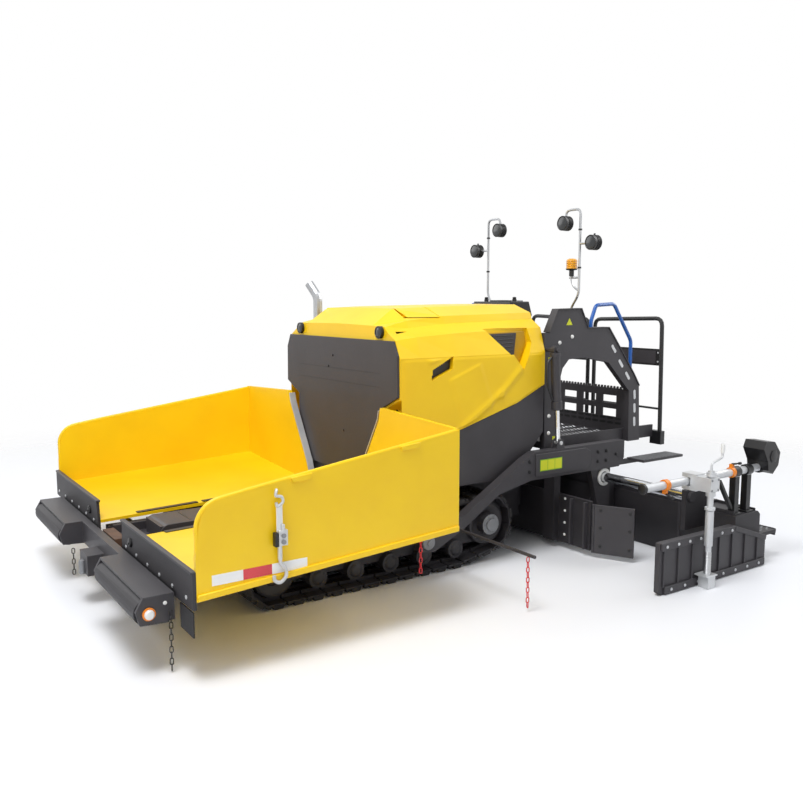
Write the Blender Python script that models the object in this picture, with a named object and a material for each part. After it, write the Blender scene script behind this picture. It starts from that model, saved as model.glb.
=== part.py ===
"""A compact tracked asphalt paver, built from named solids that are joined as the real one is.

Metres, +Z up. The machine drives towards -Y and its left side is +X. Every length along the
machine is written as a station: the distance behind the front edge of the hopper. The stations
hang under one empty, which puts the middle of the machine over the origin.
"""
import math

import bmesh
import bpy
from mathutils import Matrix, Vector

for old in list(bpy.data.objects):
    bpy.data.objects.remove(old, do_unlink=True)

# ---------------------------------------------------------------- driving dimensions
GAP = 0.0003                 # between two pieces that touch
CLEAR = 0.006                # between two pieces that move past each other

# hopper
HOPPER_HALF = 1.60           # centre line to the outer face of a wing
HOPPER_LENGTH = 1.74         # front edge to the back of the rear wall
WING_SHEET = 0.030           # folded edge thickness of the wing's walls
FLOOR_SHEET = 0.022
HINGE_X = 0.28               # the wing hinges, beside the conveyor
HINGE_Z = 0.470
BEAM_FRONT_Z = 0.456         # underside of the outer wall, at the front and at the rear
BEAM_REAR_Z = 0.562
RAIL_FRONT_Z = 0.992         # top of the outer wall, at the front and at the rear
RAIL_REAR_Z = 1.218
NOSE_RADIUS = 0.15           # round front top corner of the outer wall
APRON_TOP = 0.620
APRON_BOTTOM = 0.385
APRON_THICK = 0.020

# push rollers
ROLLER_RADIUS = 0.075
ROLLER_Z = 0.350
ROLLER_Y = -0.175
ROLLER_IN = 0.500            # inner and outer end of a roller
ROLLER_OUT = 1.310
CHEEK = 0.025

# tracks
TRACK_IN = 0.530
TRACK_OUT = 0.850
IDLER = (0.820, 0.220, 0.220)      # station, height and radius over the shoes
TAIL_ROLLER = (2.340, 0.140, 0.140)
SPROCKET = (2.640, 0.300, 0.240)
SHOE_HEIGHT = 0.030
LINK_THICK = 0.035
SHOES = 34
LOWER_ROLLERS = 5

# frame and conveyor
FRAME_HALF = 0.480
FRAME_BOTTOM = 0.200
FRAME_TOP = 0.760
TUNNEL_HALF = 0.280
TUNNEL_TOP = 0.620
TUNNEL_FLOOR = 0.340
FRAME_FRONT = 0.050
FRAME_REAR = 3.280

# engine hood
HOOD_HALF = 0.860
HOOD_FRONT = HOPPER_LENGTH + 0.050
HOOD_REAR = 3.185
HOOD_WALL = 0.130            # lined side wall
ROOF_FRONT_Z = 1.985
ROOF_REAR_Z = 2.000
HATCH_REAR = HOOD_FRONT + 0.474    # station of the seam behind the roof hatch
HATCH_FRONT = HOOD_FRONT + 0.195
HATCH_RAKE = 0.030           # how far its front face leans back, to clear the hood as it opens
HATCH_FLOOR = 1.905
PANEL_THICK = 0.020

# platform
DECK_HALF = 0.790
DECK_FRONT = 3.330
DECK_REAR = 4.620
DECK_TOP = 0.860
DECK_THICK = 0.060
ARCH_THICK = 0.055
POLE_X = 0.600
POLE_Y = 3.820
RAIL_TUBE = 0.019
RAIL_Y = 4.645
RAIL_FOOT = 0.030

# tow arms and lift cylinders
TOW_Y = 1.950
TOW_Z = 0.300
ARM_IN = 0.900
ARM_THICK = 0.080
LIFT_TOP = (3.215, 1.640)    # station and height of the upper and lower pins
LIFT_FOOT = (3.270, 0.895)

# augers and their wall
WALL_Y = 3.370
WALL_HALF = 1.215
WALL_TOP = 0.450
WALL_BOTTOM = 0.050
AUGER_RADIUS = 0.130
AUGER_Y = WALL_Y + 0.045 + AUGER_RADIUS
AUGER_Z = 0.250
AUGER_PITCH = 0.260
FLAP_LENGTH = 0.320
FLAP_ANGLE = 27.0

# screed
SCREED_HALF = 0.900
SCREED_FRONT = AUGER_Y + AUGER_RADIUS + 0.025
SCREED_DEPTH = 0.300
SCREED_TOP = 0.500
EXT_DEPTH = 0.320
EXT_IN = 0.820
TUBE_Y = SCREED_FRONT + 0.100               # the tube that guides an extension, over the main screed
TUBE_Z = 0.553
TUBE_RADIUS = 0.040
EXT_OUT = 2.060
EXT_TOP = 0.420
GATE_THICK = 0.040
GATE_FRONT = 3.100
GATE_REAR = 4.360
GATE_TOP = 0.370
RAIL_X = EXT_OUT - 0.060      # the sensor rail above the end gate
RAIL_Z = 0.745
JACK_X = EXT_OUT + 0.110
JACK_Y = 3.540

# station of the machine's middle, between the push rollers and the rear rails
MIDDLE = (RAIL_Y + RAIL_FOOT + ROLLER_Y - ROLLER_RADIUS) / 2

COLOURS = {
    "yellow": ((0.95, 0.66, 0.02), 0.40, 0.0),
    "dark": ((0.060, 0.058, 0.062), 0.55, 0.0),
    "panel": ((0.085, 0.080, 0.085), 0.50, 0.0),
    "steel": ((0.62, 0.62, 0.62), 0.30, 1.0),
    "rubber": ((0.025, 0.025, 0.027), 0.85, 0.0),
    "blue": ((0.04, 0.16, 0.46), 0.35, 0.0),
    "amber": ((0.90, 0.42, 0.02), 0.30, 0.0),
    "brown": ((0.17, 0.13, 0.11), 0.60, 0.0),
}

# ---------------------------------------------------------------- scene set-up
parts = bpy.data.collections.new("asphalt_paver")
cutters = bpy.data.collections.new("cutters")
for collection in (parts, cutters):
    bpy.context.scene.collection.children.link(collection)


def empty(name, at=(0, 0, 0), parent=None):
    """An empty at a point given in stations, which carries pieces on its joint axis."""
    carrier = bpy.data.objects.new(name, None)
    parts.objects.link(carrier)
    home = Vector(parent["at"]) if parent else Vector((0, 0, 0))
    carrier.parent = parent
    carrier.location = Vector(at) - home if parent else Vector((0, -MIDDLE, 0))
    carrier["at"] = list(at)
    return carrier


machine = empty("machine")


def helper(mesh, name="shape"):
    """A hidden shape that other pieces are cut or joined with."""
    shape = bpy.data.objects.new(name, mesh)
    cutters.objects.link(shape)
    shape.hide_render = True
    shape.display_type = "WIRE"
    return shape


def material(colour):
    """One Principled material for one piece."""
    rgb, roughness, metallic = COLOURS[colour]
    finish = bpy.data.materials.new(colour)
    finish.use_nodes = True
    shader = finish.node_tree.nodes["Principled BSDF"]
    shader.inputs["Base Color"].default_value = (*rgb, 1)
    shader.inputs["Roughness"].default_value = roughness
    shader.inputs["Metallic"].default_value = metallic
    return finish


# ---------------------------------------------------------------- shapes
def block(x, y, z, lean=None):
    """A box between two values along each axis. lean(x, y) lifts each corner by its amount."""
    bm = bmesh.new()
    bmesh.ops.create_cube(bm, size=1)
    for vert in bm.verts:
        spans = zip(vert.co, (sorted(x), sorted(y), sorted(z)))
        vert.co = [(lo + hi) / 2 + c * (hi - lo) for c, (lo, hi) in spans]
        if lean:
            vert.co.z += lean(vert.co.x, vert.co.y)
    mesh = bpy.data.meshes.new("block")
    bm.to_mesh(mesh)
    bm.free()
    return helper(mesh)


def rod(start, end, radius, sides=16, far_radius=None):
    """A round bar between two points."""
    start, end = Vector(start), Vector(end)
    bm = bmesh.new()
    bmesh.ops.create_cone(bm, cap_ends=True, segments=sides, radius1=radius,
                          radius2=far_radius or radius, depth=(end - start).length)
    turn = (end - start).to_track_quat("Z", "Y").to_matrix().to_4x4()
    bm.transform(Matrix.Translation((start + end) / 2) @ turn)
    mesh = bpy.data.meshes.new("rod")
    bm.to_mesh(mesh)
    bm.free()
    mesh.shade_smooth()
    mesh.set_sharp_from_angle(angle=math.radians(40))
    return helper(mesh)


def curve_mesh(curve, matrix):
    """A curve made a closed mesh, with its caps welded."""
    source = bpy.data.objects.new("curve", curve)
    cutters.objects.link(source)
    source.matrix_world = matrix
    graph = bpy.context.evaluated_depsgraph_get()
    mesh = bpy.data.meshes.new_from_object(source.evaluated_get(graph))
    bm = bmesh.new()
    bm.from_mesh(mesh)
    bmesh.ops.remove_doubles(bm, verts=bm.verts, dist=0.00001)
    bmesh.ops.recalc_face_normals(bm, faces=bm.faces)
    bmesh.ops.dissolve_limit(bm, angle_limit=0.001, verts=bm.verts, edges=bm.edges)
    bm.transform(matrix)
    bm.to_mesh(mesh)
    bm.free()
    bpy.data.objects.remove(source)
    return helper(mesh)


# the directions of an outline's own two axes, and of its thickness
PLANES = {
    "X": Matrix(((0, 0, 1, 0), (1, 0, 0, 0), (0, 1, 0, 0), (0, 0, 0, 1))),
    "Y": Matrix(((1, 0, 0, 0), (0, 0, -1, 0), (0, 1, 0, 0), (0, 0, 0, 1))),
    "Z": Matrix.Identity(4),
}


def plate(points, axis, span):
    """A flat outline, thick along one axis. Its points are (y, z), (x, z) or (x, y)."""
    curve = bpy.data.curves.new("outline", "CURVE")
    curve.dimensions = "2D"
    curve.fill_mode = "BOTH"
    curve.extrude = abs(span[1] - span[0]) / 2
    spline = curve.splines.new("POLY")
    spline.points.add(len(points) - 1)
    for point, (a, b) in zip(spline.points, points):
        point.co = (a, b, 0, 1)
    spline.use_cyclic_u = True
    middle = sum(span) / 2 * (-1 if axis == "Y" else 1)
    return curve_mesh(curve, PLANES[axis] @ Matrix.Translation((0, 0, middle)))


def tube(points, radius, fineness=2):
    """A round tube along points."""
    curve = bpy.data.curves.new("tube", "CURVE")
    curve.dimensions = "3D"
    curve.bevel_depth = radius
    curve.bevel_resolution = fineness
    curve.use_fill_caps = True
    spline = curve.splines.new("POLY")
    spline.points.add(len(points) - 1)
    for point, place in zip(spline.points, points):
        point.co = (*place, 1)
    return curve_mesh(curve, Matrix.Identity(4))


def rounded(points, radius, steps=4):
    """A path with each inner corner turned into a short curve."""
    corners = [Vector(p) for p in points]
    path = [corners[0]]
    for before, corner, after in zip(corners, corners[1:], corners[2:]):
        start = corner + (before - corner).normalized() * radius
        end = corner + (after - corner).normalized() * radius
        for step in range(steps + 1):
            t = step / steps
            path.append(start * (1 - t) ** 2 + corner * 2 * t * (1 - t) + end * t ** 2)
    path.append(corners[-1])
    return path


def arc(centre, radius, first, last, steps):
    """Points on a circle, between two angles in degrees."""
    angles = [math.radians(first + (last - first) * i / steps) for i in range(steps + 1)]
    return [(centre[0] + radius * math.cos(a), centre[1] + radius * math.sin(a)) for a in angles]


def change(piece, shape, operation):
    """A Boolean on a piece, kept as a modifier."""
    step = piece.modifiers.new(operation.lower(), "BOOLEAN")
    step.solver = "EXACT"
    step.operation = operation
    step.object = shape


def piece(name, base, colour, add=(), cut=(), common=(), carrier=None):
    """The finished piece: its base shape, what is joined to it, and what is cut from it."""
    cutters.objects.unlink(base)
    parts.objects.link(base)
    base.name = base.data.name = name
    base.hide_render = False
    base.display_type = "TEXTURED"
    base.data.materials.clear()
    base.data.materials.append(material(colour))
    carrier = carrier or machine
    at = Vector(carrier["at"])
    base.parent = carrier
    base.data.transform(Matrix.Translation(-at))
    for shapes, operation in ((common, "INTERSECT"), (add, "UNION"), (cut, "DIFFERENCE")):
        for shape in shapes:
            shape.parent = carrier
            shape.data.transform(Matrix.Translation(-at))
            change(base, shape, operation)
    return base


def mirrored(side, pair):
    """A span along X for the left side (1) or the right side (-1)."""
    return sorted(side * value for value in pair)


def side_name(side):
    return "left" if side > 0 else "right"


# ---------------------------------------------------------------- hopper
def floor_height(x, y):
    """Top of the hopper floor: it climbs outwards a little and towards the rear."""
    inner = HINGE_Z + 0.012 + 0.047 * y / HOPPER_LENGTH
    outer = BEAM_FRONT_Z + 0.060 + 0.094 * y / HOPPER_LENGTH
    share = (abs(x) - HINGE_X) / (HOPPER_HALF - HINGE_X)
    return inner + (outer - inner) * share


def wing(side):
    """A wing: floor, outer wall with its round nose, and rear wall. It hinges at its inner edge."""
    hinge = empty(f"wing_{side_name(side)}_hinge", (side * HINGE_X, 0, HINGE_Z), machine)
    inner = HINGE_X + CLEAR
    floor = block(mirrored(side, (inner, HOPPER_HALF - 0.01)), (0, HOPPER_LENGTH - 0.005),
                  (-FLOOR_SHEET, 0), lean=floor_height)
    nose = arc((NOSE_RADIUS + 0.02, RAIL_FRONT_Z - NOSE_RADIUS), NOSE_RADIUS, 100, 178, 6)
    profile = [(0, BEAM_FRONT_Z), (HOPPER_LENGTH, BEAM_REAR_Z), (HOPPER_LENGTH, RAIL_REAR_Z)]
    profile += nose + [(0, 0.70)]
    wall = plate(profile, "X", mirrored(side, (HOPPER_HALF - WING_SHEET, HOPPER_HALF)))
    rear = [(inner + 0.06, 0.53), (0.42, 0.70), (0.70, 1.17), (0.72, 1.265),
            (HOPPER_HALF - 0.01, RAIL_REAR_Z + 0.01), (HOPPER_HALF - 0.01, BEAM_REAR_Z + 0.02)]
    rear_wall = plate([(side * x, z) for x, z in rear], "Y",
                      (HOPPER_LENGTH - WING_SHEET, HOPPER_LENGTH))
    piece(f"wing_{side_name(side)}", wall, "yellow", add=[floor, rear_wall], carrier=hinge)
    apron_face = [(inner, APRON_BOTTOM), (HOPPER_HALF, APRON_BOTTOM + 0.03),
                  (HOPPER_HALF, APRON_TOP), (inner + 0.03, APRON_TOP - 0.005)]
    apron = plate([(side * x, z) for x, z in apron_face], "Y", (-APRON_THICK, -GAP))
    piece(f"apron_{side_name(side)}", apron, "dark", carrier=hinge)


def ram(name, base, eye, radius, barrel_length, inside, colour="dark"):
    """A hydraulic cylinder: a bored barrel turns at its base, and its rod slides in the bore."""
    base, eye = Vector(base), Vector(eye)
    along = (eye - base).normalized()
    rod_radius = radius * 0.52
    mouth = base + along * barrel_length
    swing = empty(f"{name}_swing", base, machine)
    barrel = rod(base + along * radius * 0.5, mouth, radius, 16)
    bore = rod(mouth - along * (inside + barrel_length) * 0.5, mouth + along * 0.01,
               rod_radius + 0.002, 16)
    piece(f"{name}_barrel", barrel, colour, cut=[bore], carrier=swing)
    slide = empty(f"{name}_slide", base, swing)
    piece(f"{name}_rod", rod(mouth - along * inside, eye, rod_radius, 16), "steel", carrier=slide)


def wing_ram(side):
    """The cylinder that lifts a wing, ahead of the track."""
    name = f"wing_ram_{side_name(side)}"
    base = (side * 0.380, 0.300, 0.220)
    eye = (side * 0.925, 0.300, 0.411)
    ram(name, base, eye, 0.036, 0.330, 0.200)


def push_beam():
    """The beam that carries the push rollers. It rocks about a pin along the machine."""
    pivot = empty("push_beam_pivot", (0, 0, ROLLER_Z + 0.02), machine)
    back = -APRON_THICK - 0.012
    front = ROLLER_Y - 0.03
    reach = ROLLER_OUT + CHEEK + 0.005
    bar = block((-reach, reach), (back - 0.055, back), (ROLLER_Z - 0.06, ROLLER_Z + 0.095))
    add = []
    for side in (1, -1):
        near, far = ROLLER_IN - CHEEK - 0.005, reach
        add.append(block(mirrored(side, (near, far)), (front, back - 0.02),
                         (ROLLER_Z + 0.080, ROLLER_Z + 0.095)))
        for x in (near, far - CHEEK):
            cheek = [(back - 0.03, ROLLER_Z - 0.07), (ROLLER_Y - 0.05, ROLLER_Z - 0.06),
                     (ROLLER_Y - 0.07, ROLLER_Z + 0.02), (front, ROLLER_Z + 0.09),
                     (back - 0.03, ROLLER_Z + 0.09)]
            add.append(plate(cheek, "X", mirrored(side, (x, x + CHEEK))))
    add.append(block((-0.10, 0.10), (ROLLER_Y - 0.02, back - 0.03), (ROLLER_Z - 0.14, ROLLER_Z)))
    piece("push_beam", bar, "dark", add=add, carrier=pivot)
    for side in (1, -1):
        centre = side * (ROLLER_IN + ROLLER_OUT) / 2
        spin = empty(f"push_roller_{side_name(side)}_spin", (centre, ROLLER_Y, ROLLER_Z), pivot)
        ends = [(side * x, ROLLER_Y, ROLLER_Z) for x in (ROLLER_IN, ROLLER_OUT - GAP)]
        piece(f"push_roller_{side_name(side)}", rod(*ends, ROLLER_RADIUS, 20), "dark",
              carrier=spin)


# ---------------------------------------------------------------- running gear
def belt_path():
    """The taut path of the shoes round the wheels, as (length, point at a share, its normal)."""
    wheels = (IDLER, TAIL_ROLLER, SPROCKET)
    normals = []
    for (y, z, r), (y2, z2, r2) in zip(wheels, wheels[1:] + wheels[:1]):
        heading = math.atan2(z2 - z, y2 - y)
        normals.append(heading - math.acos((r - r2) / math.hypot(y2 - y, z2 - z)))
    path = []
    for i, (y, z, r) in enumerate(wheels):
        first, last = normals[i - 1], normals[i]
        last += 2 * math.pi * math.ceil((first - last) / (2 * math.pi))
        path.append((r * (last - first), (y, z, r, first), (y, z, r, last)))
        y2, z2, r2 = wheels[(i + 1) % 3]
        path.append((math.sqrt((y2 - y) ** 2 + (z2 - z) ** 2 - (r - r2) ** 2),
                     (y, z, r, last), (y2, z2, r2, last)))
    return path


def belt_point(s, depth):
    """A point at a length s along the shoes' path, set in from it by a depth."""
    for length, start, end in belt_path():
        if s <= length:
            break
        s -= length
    y, z, r, angle = (a + (b - a) * s / length for a, b in zip(start, end))
    return (y + (r - depth) * math.cos(angle), z + (r - depth) * math.sin(angle))


def belt(side):
    """The closed loop of a track, with a raised bar for each shoe."""
    pitch = sum(length for length, *_ in belt_path()) / SHOES
    ramp = ((0.06, SHOE_HEIGHT), (0.20, 0), (0.80, 0), (0.94, SHOE_HEIGHT))
    bm = bmesh.new()
    rings = []
    for i in range(SHOES):
        for share, drop in ramp:
            s = (i + share) * pitch
            corners = [(x, *belt_point(s, depth)) for x, depth in (
                (TRACK_IN, SHOE_HEIGHT + LINK_THICK), (TRACK_IN, drop),
                (TRACK_OUT, drop), (TRACK_OUT, SHOE_HEIGHT + LINK_THICK))]
            rings.append([bm.verts.new((side * x, y, z)) for x, y, z in corners])
    for ring, after in zip(rings, rings[1:] + rings[:1]):
        for i in range(4):
            j = (i + 1) % 4
            bm.faces.new((ring[i], ring[j], after[j], after[i]))
    bmesh.ops.recalc_face_normals(bm, faces=bm.faces)
    mesh = bpy.data.meshes.new("belt")
    bm.to_mesh(mesh)
    bm.free()
    return helper(mesh)


def running_gear(side):
    """A track and, inside it, its frame with idler, sprocket and rollers."""
    name = side_name(side)
    piece(f"track_{name}", belt(side), "rubber")
    inset = SHOE_HEIGHT + LINK_THICK + CLEAR
    beam = block(mirrored(side, (FRAME_HALF + GAP, TRACK_OUT - 0.10)),
                 (IDLER[0] + 0.02, SPROCKET[0] - 0.02), (0.150, 0.320))
    add = []
    for station, height, radius in (IDLER, SPROCKET):
        ends = [(side * x, station, height) for x in (TRACK_IN + 0.05, TRACK_OUT - 0.06)]
        add.append(rod(*ends, radius - inset, 24))
    first, last = IDLER[0] + 0.33, TAIL_ROLLER[0]
    radius = TAIL_ROLLER[2] - inset
    for i in range(LOWER_ROLLERS):
        station = first + i * (last - first) / (LOWER_ROLLERS - 1)
        ends = [(side * x, station, TAIL_ROLLER[1]) for x in (TRACK_IN + 0.04, TRACK_OUT - 0.05)]
        add.append(rod(*ends, radius, 16))
    add.append(rod((side * (TRACK_OUT - 0.08), *SPROCKET[:2]),
                   (side * (TRACK_OUT + 0.012), *SPROCKET[:2]), 0.085, 20))
    add.append(rod((side * (TRACK_OUT - 0.14), TOW_Y, TOW_Z),
                   (side * (ARM_IN - CLEAR), TOW_Y, TOW_Z), 0.050, 16))
    piece(f"track_frame_{name}", beam, "dark", add=add)


# ---------------------------------------------------------------- tractor
def main_frame():
    """The welded frame: an arch over the conveyor tunnel, and beams under the hopper."""
    hull = block((-FRAME_HALF, FRAME_HALF), (HOOD_FRONT - 0.9, FRAME_REAR), (FRAME_BOTTOM, FRAME_TOP))
    tunnel = block((-TUNNEL_HALF, TUNNEL_HALF), (0, FRAME_REAR + 0.1),
                   (TUNNEL_FLOOR, TUNNEL_TOP))
    step = block((-1, 1), (0, HOOD_FRONT), (0.425, 1))
    forward = [block(mirrored(side, (TUNNEL_HALF + 0.005, TUNNEL_HALF + 0.085)),
                     (FRAME_FRONT, HOOD_FRONT - 0.8), (FRAME_BOTTOM + 0.08, 0.425))
               for side in (1, -1)]
    nose = block((-TUNNEL_HALF - 0.085, TUNNEL_HALF + 0.085), (FRAME_FRONT, FRAME_FRONT + 0.05),
                 (FRAME_BOTTOM + 0.08, TUNNEL_FLOOR))
    rear_legs = [block(mirrored(side, (0.30, FRAME_HALF)), (FRAME_REAR - 0.30, FRAME_REAR),
                       (FRAME_TOP - 0.05, DECK_TOP - DECK_THICK - GAP)) for side in (1, -1)]
    piece("main_frame", hull, "dark", add=forward + [nose] + rear_legs, cut=[tunnel, step])


def tow_bracket():
    """The bracket on the nose of the frame that the push beam rocks on."""
    low, high = ROLLER_Z - 0.13, ROLLER_Z + 0.10
    back = block((-0.15, 0.15), (-APRON_THICK - 0.006, FRAME_FRONT - GAP), (low, high))
    piece("tow_bracket", back, "brown")


def conveyor():
    """The conveyor's floor, its chain guards and the cover over its front drum."""
    edge = TUNNEL_HALF - 0.004
    bottom = TUNNEL_FLOOR + 0.004
    floor = block((-edge, edge), (FRAME_FRONT + 0.02, FRAME_REAR + 0.03), (bottom, bottom + 0.04))
    guards = [block(mirrored(side, (edge - 0.05, edge)), (FRAME_FRONT + 0.02, FRAME_REAR),
                    (bottom + 0.03, bottom + 0.100)) for side in (1, -1)]
    cover = block((-0.16, 0.16), (0.28, 0.80), (bottom + 0.03, HINGE_Z + 0.02))
    piece("conveyor", floor, "panel", add=guards + [cover])


# half sections of the hood: roof centre, roof edge, chamfer end, seam, shoulder, side, side, sill
#           station                 (x, z) pairs
HOOD_SECTIONS = [
    (HOOD_FRONT, [(0, 1.852), (0.50, 1.845), (0.66, 1.838), (0.70, 1.80), (0.80, 1.745),
                  (0.86, 1.62), (0.86, 1.33), (0.66, 1.24), (0.66, 0.90)]),
    (HOOD_FRONT + 0.18, [(0, 1.972), (0.49, 1.968), (0.67, 1.880), (0.70, 1.83), (0.80, 1.765),
                         (0.86, 1.62), (0.86, 1.33), (0.84, 1.24), (0.82, 0.90)]),
    (2.30, [(0, ROOF_FRONT_Z), (0.49, 1.980), (0.68, 1.913), (0.70, 1.855), (0.80, 1.785),
            (0.86, 1.62), (0.86, 1.33), (0.86, 1.24), (0.86, 0.90)]),
    (HOOD_REAR, [(0, ROOF_REAR_Z), (0.49, 1.996), (0.68, 1.932), (0.70, 1.88), (0.80, 1.815),
                 (0.86, 1.62), (0.86, 1.33), (0.86, 1.24), (0.86, 0.90)]),
]
# the sill between the hood and the side bodies: station and height
SILL = [(HOOD_FRONT, 0.950), (2.350, 1.075), (2.900, 1.235), (HOOD_REAR, 1.365)]


def hood_solid():
    """The hood's outer form, lofted through its sections."""
    bm = bmesh.new()
    rings = []
    for station, half in HOOD_SECTIONS:
        ring = half + [(-x, z) for x, z in reversed(half[1:])]
        rings.append([bm.verts.new((x, station, z)) for x, z in ring])
    for front, back in zip(rings, rings[1:]):
        for i in range(len(front)):
            j = (i + 1) % len(front)
            bm.faces.new((front[i], front[j], back[j], back[i]))
    bm.faces.new(rings[0])
    bm.faces.new(list(reversed(rings[-1])))
    bmesh.ops.triangulate(bm, faces=[f for f in bm.faces if len(f.verts) == 4])
    bmesh.ops.recalc_face_normals(bm, faces=bm.faces)
    mesh = bpy.data.meshes.new("hood_form")
    bm.to_mesh(mesh)
    bm.free()
    return helper(mesh)


def hood():
    """The yellow hood over the engine, hollow, with a roof hatch and a scoop in each side."""
    below = plate(SILL + [(HOOD_REAR + 0.1, 1.40), (HOOD_REAR + 0.1, 0.5),
                          (HOOD_FRONT - 0.1, 0.5), (HOOD_FRONT - 0.1, 0.93)], "X", (-1, 1))
    cavity = block((HOOD_WALL - HOOD_HALF, HOOD_HALF - HOOD_WALL),
                   (HOOD_FRONT + 0.06, HOOD_REAR - 0.06), (0.5, 1.845 - 0.04))
    front = block((-0.55, 0.55), (HOOD_FRONT - 0.05, HOOD_FRONT + 0.1), (0.5, 1.70))
    well = block((-1, 1), (HATCH_FRONT - CLEAR, HATCH_REAR + CLEAR), (HATCH_FLOOR - CLEAR, 2.2))
    scoop = [(2.600, 1.815), (3.040, 1.815), (3.060, 1.70), (2.960, 1.490)]
    slot = [(2.060, 1.450), (2.075, 1.530), (2.265, 1.625), (2.255, 1.530)]
    cuts = [below, cavity, front, well]
    for side in (1, -1):
        cuts.append(plate(scoop, "X", mirrored(side, (HOOD_HALF - 0.085, 1))))
        cuts.append(plate(slot, "X", mirrored(side, (HOOD_HALF - 0.05, 1))))
    piece("hood", hood_solid(), "yellow", cut=cuts)
    hinge = empty("hatch_hinge", (0, HATCH_REAR, ROOF_FRONT_Z), machine)
    window = plate([(HATCH_FRONT, 2.2), (HATCH_FRONT, ROOF_FRONT_Z - 0.005),
                    (HATCH_FRONT + HATCH_RAKE, HATCH_FLOOR), (HATCH_REAR, HATCH_FLOOR),
                    (HATCH_REAR, 2.2)], "X", (-1, 1))
    piece("roof_hatch", hood_solid(), "yellow", common=[window], carrier=hinge)


def front_panel():
    """The dark panel that closes the front of the hood, above the hopper."""
    half = [(0, 1.742), (0.795, 1.742), (0.850, 1.640), (0.855, 1.345), (0.645, 1.248),
            (0.645, 0.700), (0, 0.700)]
    outline = half + [(-x, z) for x, z in reversed(half[1:-1])]
    piece("front_panel", plate(outline, "Y", (HOOD_FRONT - GAP - PANEL_THICK, HOOD_FRONT - GAP)),
          "panel")


def tractor_body():
    """Engine, side bodies and exhaust."""
    engine = block((-0.42, 0.42), (HOOD_FRONT + 0.21, 2.95), (FRAME_TOP + GAP, 1.60))
    piece("engine", engine, "steel")
    top = [(y, z - 0.004) for y, z in SILL]
    for side in (1, -1):
        outline = [(HOOD_FRONT + 0.03, 0.640), (HOOD_FRONT + 0.03, top[0][1])] + top[1:]
        outline += [(HOOD_REAR, 0.98), (3.02, 0.80), (2.98, 0.640)]
        body = plate(outline, "X", mirrored(side, (FRAME_HALF + GAP, HOOD_HALF - 0.005)))
        nose = block(mirrored(side, (0.66, 1)), (HOOD_FRONT - 0.1, HOOD_FRONT + 0.12), (0.5, 1.2))
        piece(f"side_body_{side_name(side)}", body, "dark", cut=[nose])
    base = Vector((-0.762, HOOD_FRONT + 0.235, 1.835))
    pipe = [base, base + Vector((0, 0, 0.225)), base + Vector((-0.078, -0.040, 0.340))]
    piece("exhaust", tube(rounded(pipe, 0.04), 0.040, 3), "steel")


def platform():
    """The operator's deck, its console, arches, guards and light poles."""
    deck_low = DECK_TOP - DECK_THICK
    deck = block((-DECK_HALF, DECK_HALF), (DECK_FRONT, DECK_REAR), (deck_low, DECK_TOP))
    kerbs = [block(mirrored(side, (DECK_HALF - 0.02, DECK_HALF)), (DECK_FRONT + 0.06, DECK_REAR),
                   (DECK_TOP - 0.02, DECK_TOP + 0.05)) for side in (1, -1)]
    lug = block((-0.45, 0.45), (FRAME_REAR - 0.3, DECK_FRONT + 0.02), (deck_low, DECK_TOP - 0.01))
    panel = block((0.02 - DECK_HALF, DECK_HALF - 0.02), (4.245, 4.260), (DECK_TOP - 0.01, 1.250))
    columns, rows = 6, 2
    slots = []
    for column in range(columns):
        for row in range(rows):
            x = (column - (columns - 1) / 2) * 0.24
            z = 1.150 - row * 0.12
            slots.append(block((x - 0.08, x + 0.08), (4.2, 4.3), (z - 0.035, z + 0.035)))
    piece("platform", deck, "dark", add=kerbs + [lug, panel], cut=slots)
    console = [(3.36, DECK_TOP + GAP), (3.60, DECK_TOP + GAP), (3.56, 1.72), (3.66, 1.90),
               (3.62, 2.02), (3.40, 2.02), (3.36, 1.80)]
    piece("console", plate(console, "X", (-0.30, 0.20)), "panel")
    for side in (1, -1):
        arch(side)
        handrail(side)
        light_pole(side)
        rear_rail(side)
    beacon_x = POLE_X - 0.09
    stem = rod((beacon_x, POLE_Y, 2.2355), (beacon_x, POLE_Y, 2.30), 0.020, 12)
    lamp = rod((beacon_x, POLE_Y, 2.295), (beacon_x, POLE_Y, 2.385), 0.046, 16, 0.040)
    piece("beacon", lamp, "amber", add=[stem])


def arch(side):
    """A cut plate from the deck's front corner, over the top, and down behind."""
    front = HOOD_REAR + CLEAR
    outer = [(3.215, 0.800), (front, 1.600), (front, 1.772), (3.250, 1.772), (3.330, 1.955),
             (3.600, 1.960),
             (3.685, 1.800), (3.935, 1.800), (4.065, 1.643), (4.270, 1.390), (4.345, 1.282),
             (4.372, 0.800)]
    inner = [(4.225, 0.800), (4.215, 1.245), (3.945, 1.505), (3.650, 1.560), (3.470, 1.550),
             (3.400, 1.480), (3.355, 1.330), (3.345, 0.800)]
    low = DECK_HALF + GAP
    span = mirrored(side, (low, low + ARCH_THICK))
    body = plate(outer + inner, "X", span)
    pin = rod((side * (low + 0.01), *LIFT_TOP), (side * (ARM_IN + ARM_THICK), *LIFT_TOP), 0.016)
    bar = block(mirrored(side, (0.45, low + 0.01)), (POLE_Y - 0.02, POLE_Y + 0.02), (1.74, 1.78))
    piece(f"arch_{side_name(side)}", body, "dark", add=[pin, bar])


def handrail(side):
    """The grab rail that follows the top of the arch."""
    x = side * (DECK_HALF + ARCH_THICK / 2)
    path = [(x, 3.745, 1.800 + GAP), (x, 3.745, 1.860), (x, 3.800, 1.990), (x, 4.020, 2.000),
            (x, 4.250, 1.680), (x, 4.250, 1.442)]
    piece(f"handrail_{side_name(side)}", tube(rounded(path, 0.028), 0.016), "blue")


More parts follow.
